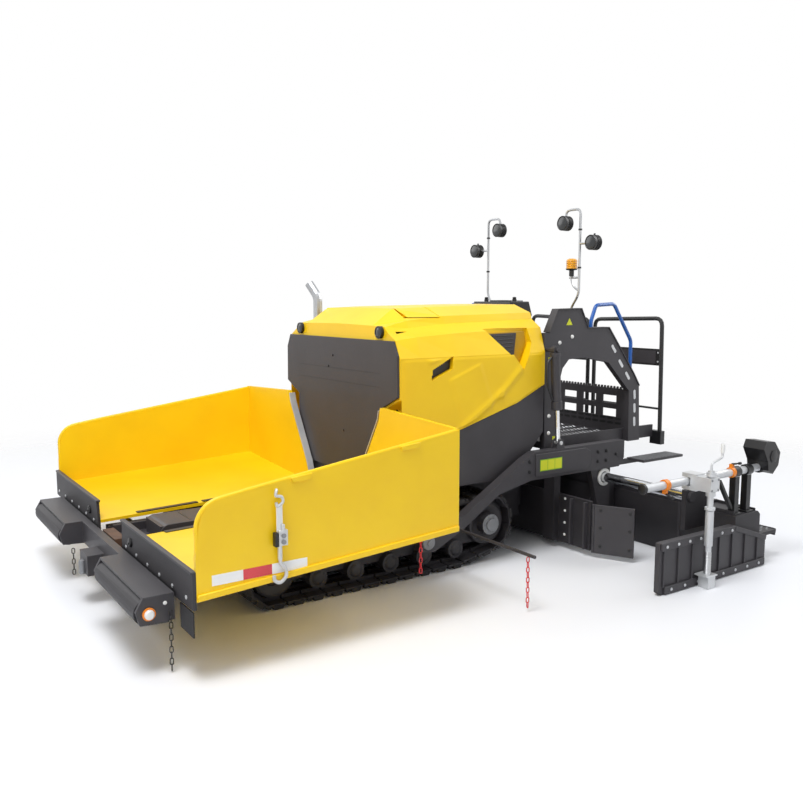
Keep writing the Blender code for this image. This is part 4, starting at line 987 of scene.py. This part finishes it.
for row in range(26):
    for column in range(20):
        x = -0.72 + 0.0745 * column + (0.037 if row % 2 else 0)
        s = 3.64 + 0.0225 * row
        if x < 0.73:
            angle = 0.785 if (row + column) % 2 else -0.785
            c, d = math.cos(angle), math.sin(angle)
            flat = grain @ ((c, d), (-d, c))
            low_ring = np.column_stack([flat + (x, FRONT + s), np.full(4, deck_top - 0.0005)])
            high_ring = np.column_stack([flat * 0.6 + (x, FRONT + s), np.full(4, deck_top + 0.002)])
            tread.append((np.vstack([low_ring, high_ring]),
                          ring_quads(2, 4) + [[3, 2, 1, 0], [4, 5, 6, 7]]))
make("deck_tread", tread, STEEL, "chassis")
guard_top = 1.250
teeth = []
for x in np.arange(-0.75, 0.74, 0.0365):
    outline = [(x, guard_top - 0.004), (x + 0.024, guard_top - 0.004),
               (x + 0.018, guard_top + 0.020), (x + 0.006, guard_top + 0.020)]
    teeth.append(plate_arrays(outline, "Y", FRONT + 4.2455, FRONT + 4.2595))
make("guard_teeth", teeth, SATIN, "chassis")
slots = []
for column in range(17):
    for z in (0.93, 0.97):
        x = -0.74 + 0.0885 * column
        outline = [(x, z), (x + 0.060, z), (x + 0.066, z + 0.010), (x + 0.060, z + 0.020),
                   (x, z + 0.020), (x - 0.006, z + 0.010)]
        slots.append(plate_arrays(outline, "Y", FRONT + 4.2440, FRONT + 4.2452))
make("guard_slots", slots, BLACK, "chassis")
make("rear_lamp", [turned_arrays(at(0.800, 4.676, 0.800), (0, 1, 0), [
    (-0.004, 0.022), (0.0, 0.030), (0.003, 0.028), (0.005, 0.010), (0.0055, 0.002)], 24)],
    LAMP_RED, "chassis")
print("deck finished")

# %% Rear rail boards
for name, side in SIDES:
    board = box_arrays((side * 0.10, side * 0.78), (4.6372, 4.6388), (1.462, 1.578))
    make(f"rail_board_{name}", [board], PANEL, "chassis", ease_mm=0.5)
    bolts(f"rail_board_bolts_{name}", [at(side * x, 4.6390, z) for x in (0.075, 0.805)
                                       for z in (1.48, 1.56)], (0, -1, 0), 0.007, ZINC, "chassis")
print("boards blank")

# %% [markdown]
# ## Side walls, arms and cylinders
#
# White-headed bolts stand out on the dark wall before the augers. The tow arm is a cranked beam;
# its front pin, the lock plate and the cylinder's eyes are turned parts with bolts round them.

# %% Wall bolts and plates
wall_back = 3.400
for name, side in SIDES:
    places = [at(side * x, wall_back, z) for x in (0.62, 0.94, 1.15)
              for z in (0.10, 0.20, 0.30, 0.40)]
    bolts(f"wall_bolts_{name}", places, (0, 1, 0), 0.009, WHITE, "chassis")
    front_places = [at(side * x, 3.370, z) for x in (0.94, 1.16)
                    for z in (0.12, 0.22, 0.32, 0.42)]
    bolts(f"wall_front_bolts_{name}", front_places, (0, -1, 0), 0.009, WHITE, "chassis")
    ribs = [box_arrays((side * 1.02, side * 1.035), (3.372 - 0.040, 3.371), (0.06, 0.44)),
            box_arrays((side * 1.17, side * 1.185), (3.372 - 0.040, 3.371), (0.06, 0.44))]
    make(f"wall_ribs_{name}", ribs, SATIN, "chassis", ease_mm=2)

# %% Tow arm details
arm_face = 0.980
for name, side in SIDES:
    face = side * arm_face
    body = "screed"
    pin = turned_arrays(at(side * 0.990, 1.950, 0.300), (side, 0, 0), [
        (-0.01, 0.052), (0.006, 0.052), (0.010, 0.046), (0.014, 0.022), (0.022, 0.020),
        (0.022, 0.003)], 28)
    make(f"tow_pin_{name}", [pin], CAST, body)
    places = [at(face, s, z) for s, z in ((2.93, 0.70), (2.93, 0.78), (3.70, 0.70), (3.70, 0.78),
                                          (3.80, 0.70), (3.80, 0.78), (3.92, 0.74))]
    bolts(f"arm_bolts_{name}", places, (side, 0, 0), 0.013, BLACK, body)
    doubler = [(2.99, 0.655), (3.56, 0.655), (3.60, 0.700), (3.60, 0.800), (3.54, 0.832),
               (2.99, 0.832)]
    plate = side_plate(doubler, side * (arm_face - 0.002), side * (arm_face + 0.012))
    make(f"arm_doubler_{name}", [plate], SATIN, body, ease_mm=3)
    panes = [((3.030, 3.270), (0.694, 0.786), 0.0125, GREEN, "border"),
             ((3.036, 3.108), (0.700, 0.780), 0.0135, LABEL, "label_a"),
             ((3.114, 3.186), (0.700, 0.780), 0.0135, LABEL, "label_b"),
             ((3.192, 3.264), (0.700, 0.780), 0.0135, LABEL, "label_c")]
    for (s0, s1), (z0, z1), proud, material, kind in panes:
        pane = box_arrays((side * (arm_face + 0.0105), side * (arm_face + proud)), (s0, s1),
                          (z0, z1))
        make(f"arm_{kind}_{name}", [pane], material, body)
    ear = [(3.225, 0.845), (3.315, 0.845), (3.300, 0.915), (3.270, 0.930), (3.240, 0.915)]
    ears = [side_plate(ear, side * x, side * (x + 0.012)) for x in (0.905, 0.963)]
    make(f"cylinder_ears_{name}", ears, SATIN, body, ease_mm=2)
    eye = turned_arrays(at(side * 0.900, 3.270, 0.895), (side, 0, 0), [
        (0.0, 0.010), (0.001, 0.016), (0.080, 0.016), (0.081, 0.010)], 20)
    make(f"cylinder_pin_{name}", [eye], ZINC, body)
    treads = []
    for k in range(12):
        s = 4.10 + 0.041 * k
        treads.append(box_arrays((side * 0.985, side * 1.130), (s, s + 0.014),
                                 (0.6895, 0.694)))
    make(f"step_treads_{name}", treads, CAST, body)
print("arms detailed")

# %% Cylinder heads
ram_length = 0.470
for name, side in SIDES:
    base = at(side * 0.940, 3.215, 1.640)
    eye = at(side * 0.940, 3.270, 0.895)
    along = (eye - base) / np.linalg.norm(eye - base)
    make(f"lift_ram_collars_{name}", [
        turned_arrays(base, along, [(ram_length - 0.060, 0.036), (ram_length - 0.058, 0.045),
                                    (ram_length + 0.004, 0.045), (ram_length + 0.010, 0.040),
                                    (ram_length + 0.010, 0.024)], 28),
        turned_arrays(base, along, [(0.018, 0.036), (0.020, 0.043), (0.050, 0.043),
                                    (0.052, 0.036)], 28),
        turned_arrays(base + np.array((side * -0.022, 0, 0)), (side, 0, 0), [
            (0, 0.020), (0.001, 0.034), (0.043, 0.034), (0.044, 0.020)], 28)],
        SATIN, f"lift_ram_{name}_barrel")
    line = smooth_path([base + along * 0.06 + (0, -0.045, 0),
                        base + along * 0.12 + (0, -0.085, 0.01),
                        base + along * 0.26 + (0, -0.090, 0),
                        base + along * 0.40 + (0, -0.044, 0)], 8)
    make(f"lift_ram_pipe_{name}", [sweep_arrays(line, circle(0.010, 10))], BLACK,
         f"lift_ram_{name}_barrel")
print("cylinders headed")

# %% [markdown]
# ## The screed
#
# The middle box is bolted up from plate: a cover with lifting eyes, stiffeners across it, and a
# flange on each side where the chromed tubes of the extensions come out.

# %% Screed covers, stiffeners and flanges
screed_rear = 4.000
TUBE = (3.800, 0.553)


def ring_arrays(centre, direction, radius, outline, steps=40):
    """A ring: a closed outline swept round a circle about an axis along X."""
    turn = np.linspace(0, 2 * math.pi, steps, endpoint=False)
    path = np.asarray(centre) + np.stack([np.zeros(steps), radius * np.cos(turn),
                                          radius * np.sin(turn) * direction], -1)
    return sweep_arrays(path, outline, closed=True)


flange_outline = [(-0.013, -0.006), (0.013, -0.006), (0.013, 0.006), (-0.013, 0.006)]
for name, side in SIDES:
    centre = at(side * 0.962, *TUBE)
    make(f"tube_flange_{name}", [ring_arrays(centre, side, 0.061, flange_outline)], WHITE,
         "screed", ease_mm=1)
    make(f"tube_chrome_{name}", [turned_arrays(at(side * 0.800, *TUBE), (side, 0, 0), [
        (0.0, 0.030), (0.002, 0.0412), (0.974, 0.0412), (0.976, 0.030)], 40)], CHROME,
        f"extension_{name}")
parts = []
for x in np.linspace(-0.80, 0.80, 9):
    parts.append(box_arrays((x - 0.006, x + 0.006), (screed_rear - 0.002, screed_rear + 0.011),
                            (0.32, 0.455)))
    parts.append(box_arrays((x - 0.006, x + 0.006), (screed_rear - 0.002, screed_rear + 0.011),
                            (0.02, 0.24)))
make("screed_stiffeners", parts, DARK, "screed", ease_mm=1)
covers = [box_arrays((side * 0.06, side * 0.86), (3.880, 3.955), (0.498, 0.512))
          for side in (1, -1)]
make("screed_covers", covers, SATIN, "screed", ease_mm=2)
eyes = []
for x in (-0.70, -0.22, 0.22, 0.70):
    loop = [at(x - 0.025, 3.918, 0.508), at(x - 0.022, 3.918, 0.545), at(x, 3.918, 0.556),
            at(x + 0.022, 3.918, 0.545), at(x + 0.025, 3.918, 0.508)]
    eyes.append(sweep_arrays(smooth_path(loop, 6), circle(0.006, 8)))
make("screed_handles", eyes, ZINC, "screed")
bolts("screed_cover_bolts", [at(x, s, 0.511) for x in np.linspace(-0.82, 0.82, 8)
                             for s in (3.890, 3.945)], (0, 0, 1), 0.008, BLACK, "screed")
print("screed covered")

# %% [markdown]
# Each extension is a box in the same style, with a bolted end section, a folded walkway with
# raised treads behind, and a small label on its channel.

# %% Extensions
for name, side in SIDES:
    body = f"extension_{name}"
    ext_top = 0.420
    front, rear = 4.020, 4.340
    parts = [box_arrays((side * (x - 0.007), side * (x + 0.007)),
                        (front + 0.015, rear - 0.035), (ext_top - 0.004, ext_top + 0.022))
             for x in (0.98, 1.20, 1.42, 1.70, 1.94)]
    parts.append(box_arrays((side * 0.84, side * 2.04), (front + 0.008, front + 0.022),
                            (ext_top - 0.004, ext_top + 0.030)))
    parts.append(box_arrays((side * 0.84, side * 2.04), (rear - 0.048, rear - 0.034),
                            (ext_top - 0.004, ext_top + 0.020)))
    make(f"extension_ribs_{name}", parts, DARK, body, ease_mm=2)
    joint_x = 1.56
    parts = [box_arrays((side * (joint_x - 0.012), side * (joint_x + 0.012)),
                        (front - 0.004, rear + 0.006), (0.004, ext_top + 0.006))]
    make(f"extension_joint_{name}", parts, SATIN, body, ease_mm=2)
    places = [at(side * x, rear + 0.0005, z) for x in (1.50, 1.62)
              for z in (0.06, 0.15, 0.30, 0.37)]
    bolts(f"extension_bolts_{name}", places, (0, 1, 0), 0.011, ZINC, body)
    treads = []
    for row in range(5):
        for column in range(26):
            x = 0.86 + 0.0455 * column + (0.022 if row % 2 else 0)
            s = 4.375 + 0.042 * row
            treads.append(turned_arrays(at(side * x, s, 0.2345), (0, 0, 1), [
                (0, 0.011), (0.0045, 0.008), (0.005, 0.004)], 8))
    make(f"walkway_treads_{name}", treads, CAST, body)
    nosing = box_arrays((side * 0.825, side * 2.055), (4.560, 4.572), (0.185, 0.240))
    make(f"walkway_nosing_{name}", [nosing], SATIN, body, ease_mm=2)
    label = box_arrays((side * 1.70, side * 1.77), (front - 0.0015, front + 0.001),
                       (0.350, 0.385))
    make(f"extension_label_{name}", [label], LABEL, body)
print("extensions finished")

# %% [markdown]
# The end gate keeps the mix from spilling sideways. It is a plate with a box beam along its top,
# welded ribs, a wear shoe along the ground, and turned-in ends.

# %% End gates
for name, side in SIDES:
    body = f"extension_{name}"
    low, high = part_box(f"end_gate_{name}")
    gate_face = max(abs(low[0]), abs(high[0]))
    start, end = low[1] - FRONT, high[1] - FRONT
    gate_top = high[2]
    parts = [box_arrays((side * (gate_face - 0.044), side * (gate_face + 0.016)),
                        (start + 0.01, start + 0.84), (gate_top - 0.052, gate_top + 0.002)),
             box_arrays((side * (gate_face - 0.002), side * (gate_face + 0.016)),
                        (start + 0.05, end - 0.02), (0.004, 0.060))]
    for s in np.linspace(start + 0.04, start + 0.82, 6):
        parts.append(box_arrays((side * (gate_face - 0.002), side * (gate_face + 0.013)),
                                (s - 0.006, s + 0.006), (0.055, gate_top - 0.050)))
    for s, top in ((start + 0.98, 0.305), (start + 1.14, 0.255)):
        parts.append(box_arrays((side * (gate_face - 0.002), side * (gate_face + 0.013)),
                                (s - 0.006, s + 0.006), (0.055, top)))
    make(f"gate_beams_{name}", parts, SATIN, body, ease_mm=3)
    slanted = sweep_arrays([at(side * (gate_face - 0.014), start + 0.85, gate_top - 0.022),
                            at(side * (gate_face - 0.014), end - 0.01, 0.214)],
                           [(-0.028, -0.018), (0.028, -0.018), (0.028, 0.018), (-0.028, 0.018)])
    make(f"gate_slope_{name}", [slanted], SATIN, body, ease_mm=3)
    places = [at(side * (gate_face + 0.015), s, gate_top - 0.026)
              for s in np.linspace(start + 0.06, start + 0.80, 7)]
    places += [at(side * (gate_face + 0.015), s, 0.032)
               for s in np.linspace(start + 0.12, end - 0.1, 8)]
    bolts(f"gate_bolts_{name}", places, (side, 0, 0), 0.009, ZINC, body)
print("end gates stiffened")

# %% [markdown]
# The levelling rail is a bright tube on black square posts. Orange clamps hold the sensor arm, and
# the jack stands on the end gate: a screw in a tube, turned by the crank on top.

# %% Rails, clamps and posts
for name, side in SIDES:
    body = f"extension_{name}"
    low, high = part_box(f"sensor_rail_{name}")
    rail_x = (low[0] + high[0]) / 2
    rail_z = high[2] - 0.030
    start, end = low[1] - FRONT, high[1] - FRONT
    clamps = []
    for s, up in ((start + 0.24, -1), (4.030, 1)):
        clamps.append(turned_arrays(at(rail_x, s, rail_z), (0, 1, 0), [
            (-0.020, 0.0305), (-0.019, 0.040), (0.019, 0.040), (0.020, 0.0305)], 28))
        clamps.append(box_arrays((rail_x - 0.014, rail_x + 0.014), (s - 0.014, s + 0.014),
                                 sorted((rail_z + up * 0.034, rail_z + up * 0.064))))
    make(f"rail_clamps_{name}", clamps, ORANGE, body, ease_mm=1.5)
    handles = [turned_arrays(at(rail_x, s, rail_z + up * 0.062), (side, 0, 0.25 * up), [
        (0.0, 0.005), (0.001, 0.008), (0.055, 0.006), (0.060, 0.011), (0.078, 0.011),
        (0.082, 0.004)], 14) for s, up in ((start + 0.24, -1), (4.030, 1))]
    make(f"clamp_handles_{name}", handles, BLACK, body)
    ends = [turned_arrays(at(rail_x, start + 0.003, rail_z), (0, -1, 0), [
        (-0.012, 0.0305), (-0.010, 0.036), (0.008, 0.036), (0.012, 0.028), (0.012, 0.003)], 28)]
    make(f"rail_ends_{name}", ends, BLACK, body)
    posts = []
    for s in (4.075, 4.225):
        posts.append(box_arrays((rail_x - 0.0262, rail_x + 0.0262), (s - 0.0262, s + 0.0262),
                                (0.4215, rail_z - 0.036)))
        posts.append(box_arrays((rail_x - 0.045, rail_x + 0.045), (s - 0.045, s + 0.045),
                                (0.4205, 0.432)))
        posts.append(turned_arrays(at(rail_x, s - 0.034, rail_z), (0, 1, 0), [
            (0, 0.0305), (0.001, 0.042), (0.067, 0.042), (0.068, 0.0305)], 28))
    make(f"rail_posts_{name}", posts, BLACK, body, ease_mm=2)
    brace = [at(rail_x, 4.055, 0.445), at(rail_x, 3.880, 0.700)]
    make(f"rail_brace_{name}", [sweep_arrays(brace, [(-0.016, -0.010), (0.016, -0.010),
                                                     (0.016, 0.010), (-0.016, 0.010)])],
         BLACK, body)

# %% Jack details
for name, side in SIDES:
    body = f"extension_{name}"
    pole_x = side * 2.170
    pole_s = 3.540
    base = at(pole_x, pole_s, 0)
    thread = []
    for k in range(14):
        z = 0.100 + 0.011 * k
        thread += [(z, 0.0225), (z + 0.0055, 0.0255)]
    thread += [(0.26, 0.0225)]
    make(f"jack_thread_{name}", [turned_arrays(base, (0, 0, 1), thread, 24)], STEEL, body)
    sleeves = [turned_arrays(base, (0, 0, 1), [
        (z0, 0.0222), (z0 + 0.003, r), (z1 - 0.003, r), (z1, 0.0222)], 28)
        for z0, z1, r in ((0.300, 0.560, 0.029), (0.560, 0.585, 0.036), (0.800, 0.835, 0.034),
                          (0.660, 0.694, 0.034))]
    make(f"jack_sleeves_{name}", sleeves, ZINC, body)
    face_x = pole_x + side * 0.0345
    places = [at(face_x, pole_s + ds, 0.745 + dz) for ds in (-0.036, 0.036)
              for dz in (-0.036, 0.036)]
    bolts(f"jack_bolts_{name}", places, (side, 0, 0), 0.007, CAST, body)
    knob = turned_arrays(at(pole_x, pole_s + 0.120, 0.955), (0, 0, 1), [
        (0, 0.008), (0.003, 0.0135), (0.060, 0.0145), (0.068, 0.009), (0.070, 0.002)], 18)
    make(f"crank_knob_{name}", [knob], WHITE, body)
print("rails and jacks finished")

# %% [markdown]
# The operator's remote box hangs at the end of the rail: a six-sided moulded case with a display,
# a dial and two rows of keys, turned to whoever walks beside the machine.

# %% Control boxes
for name, side in SIDES:
    body = f"extension_{name}"
    low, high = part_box(f"control_box_{name}")
    centre_x = (low[0] + high[0]) / 2
    screen = [at(centre_x - 0.055, 4.506, 0.775), at(centre_x + 0.055, 4.506, 0.775),
              at(centre_x + 0.055, 4.519, 0.846), at(centre_x - 0.055, 4.519, 0.846)]
    off = np.array((0, 0.0045, -0.001))
    points = np.vstack([np.array(screen) - off, np.array(screen) + off])
    make(f"control_screen_{name}", [(points, ring_quads(2, 4) + [[3, 2, 1, 0], [4, 5, 6, 7]])],
         GLASS, body)
    slope = np.array((0, 0.0805, -0.0893))
    slope /= np.linalg.norm(slope)
    normal = np.array((0, 0.743, 0.669))
    keys = [turned_arrays(at(x, 4.455, 0.933) + slope * d, normal, [
        (-0.002, 0.009), (0.005, 0.009), (0.008, 0.006), (0.0085, 0.001)], 14)
        for x in centre_x + np.linspace(-0.06, 0.06, 4) for d in (0.010, 0.040)]
    make(f"control_keys_{name}", keys, WHITE, body)
    rim = [turned_arrays(at(x, 4.432, 0.838), (sx, 0, 0), [
        (-0.002, 0.050), (0.004, 0.052), (0.007, 0.046), (0.007, 0.003)], 6)
        for x, sx in ((low[0], -1), (high[0], 1))]
    make(f"control_sides_{name}", rim, BLACK, body)
print("control boxes fitted")

# %% Side flap bolts and hinge knuckles
for name, side in SIDES:
    body = f"side_flap_{name}"
    hinge = at(side * 1.235, 3.385, 0)
    knuckles = [turned_arrays(hinge + (0, 0, z), (0, 0, 1), [
        (0, 0.0127), (0.001, 0.0155), (0.049, 0.0155), (0.050, 0.0127)], 18)
        for z in (0.060, 0.200, 0.340)]
    make(f"flap_knuckles_{name}", knuckles, SATIN, body)
    along = np.array((side * math.cos(math.radians(27)), math.sin(math.radians(27)), 0))
    across = np.array((-along[1], along[0], 0)) * side
    places = [hinge + along * d - across * 0.0125 + (0, 0, z) for d in (0.06, 0.29)
              for z in (0.10, 0.25, 0.39)]
    bolts(f"flap_bolts_{name}", places, -across, 0.010, BLACK, body)
print("flaps hinged")

# %% [markdown]
# An auger's flight is hard-faced cast iron on a bright shaft, with a dark cap on the bearing.

# %% Auger caps
for name, side in SIDES:
    cap = turned_arrays(at(side * 1.098, 3.545, 0.250), (side, 0, 0), [
        (0.0, 0.030), (0.002, 0.050), (0.016, 0.050), (0.022, 0.036), (0.024, 0.004)], 28)
    make(f"auger_cap_{name}", [cap], CAST, f"auger_{name}")
print("augers capped")

# %% [markdown]
# ## The studio
#
# A pale floor that fades out into a white world, one large soft lamp high overhead, a weak
# one ahead, a fill from the right and a low one behind. The floor takes the machine's soft shadow.

# %% Floor, lamps and world
floor_size = 14
floor = bpy.data.objects.new("floor", bpy.data.meshes.new("floor"))
floor.data.from_pydata([(-floor_size, -floor_size, 0), (floor_size, -floor_size, 0),
                        (floor_size, floor_size, 0), (-floor_size, floor_size, 0)], [],
                       [(0, 1, 2, 3)])
bpy.context.scene.collection.objects.link(floor)
floor.location.z = -0.002
paper = bpy.data.materials.new("pale_paper_floor")
paper.use_nodes = True
sheet = paper.node_tree
sheet.nodes.clear()
place = add(sheet, "TexCoord").outputs["Object"]
away = add(sheet, "VectorMath", {"operation": "LENGTH"}, Vector=place)
fade = add(sheet, "MapRange", {"From Min": 3.6, "From Max": 8.5, "To Min": 0.0, "To Max": 1.0,
                               "interpolation_type": "SMOOTHSTEP"}, Value=away.outputs["Value"])
matt = add(sheet, "BsdfPrincipled", {"Base Color": linear("#F3F5FA"), "Roughness": 0.45})
clear = add(sheet, "BsdfTransparent")
blend = add(sheet, "MixShader", (), Fac=fade.outputs["Result"])
sheet.links.new(matt.outputs[0], blend.inputs[1])
sheet.links.new(clear.outputs[0], blend.inputs[2])
add(sheet, "OutputMaterial", (), Surface=blend.outputs[0])
floor.data.materials.append(paper)

world = bpy.data.worlds.new("studio")
bpy.context.scene.world = world
world.use_nodes = True
world.node_tree.nodes.clear()
rays = add(world.node_tree, "LightPath")
seen = add(world.node_tree, "Math", {"operation": "MAXIMUM"})
world.node_tree.links.new(rays.outputs["Is Camera Ray"], seen.inputs[0])
world.node_tree.links.new(rays.outputs["Is Glossy Ray"], seen.inputs[1])
soft = add(world.node_tree, "Background", {"Color": (1, 1, 1, 1), "Strength": 0.38})
white = add(world.node_tree, "Background", {"Color": (1, 1, 1, 1), "Strength": 1.0})
mixed = add(world.node_tree, "MixShader", (), Fac=seen.outputs[0])
world.node_tree.links.new(soft.outputs[0], mixed.inputs[1])
world.node_tree.links.new(white.outputs[0], mixed.inputs[2])
add(world.node_tree, "OutputWorld", (), Surface=mixed.outputs[0])


def lamp(name, place, target, power, size):
    """A square area lamp that looks from a place to a target."""
    data = bpy.data.lights.new(name, "AREA")
    data.energy, data.size = power, size
    light = bpy.data.objects.new(name, data)
    bpy.context.scene.collection.objects.link(light)
    light.location = place
    along = np.asarray(target, float) - np.asarray(place, float)
    light.rotation_euler = (math.acos(-along[2] / np.linalg.norm(along)), 0,
                            math.atan2(along[1], along[0]) - math.pi / 2)


lamp("key", (2.6, -3.4, 8.8), (0, 0, 0.6), 610, 3.6)
lamp("front", (4.5, -7.0, 4.0), (0, 0, 0.8), 90, 4.0)
lamp("fill", (-6.5, -3.0, 5.0), (0, 0, 0.8), 140, 5.0)
lamp("rim", (2.5, 7.0, 5.5), (0, 0, 1.0), 200, 4.0)
bpy.context.scene.view_settings.view_transform = "Standard"
print("studio lit")
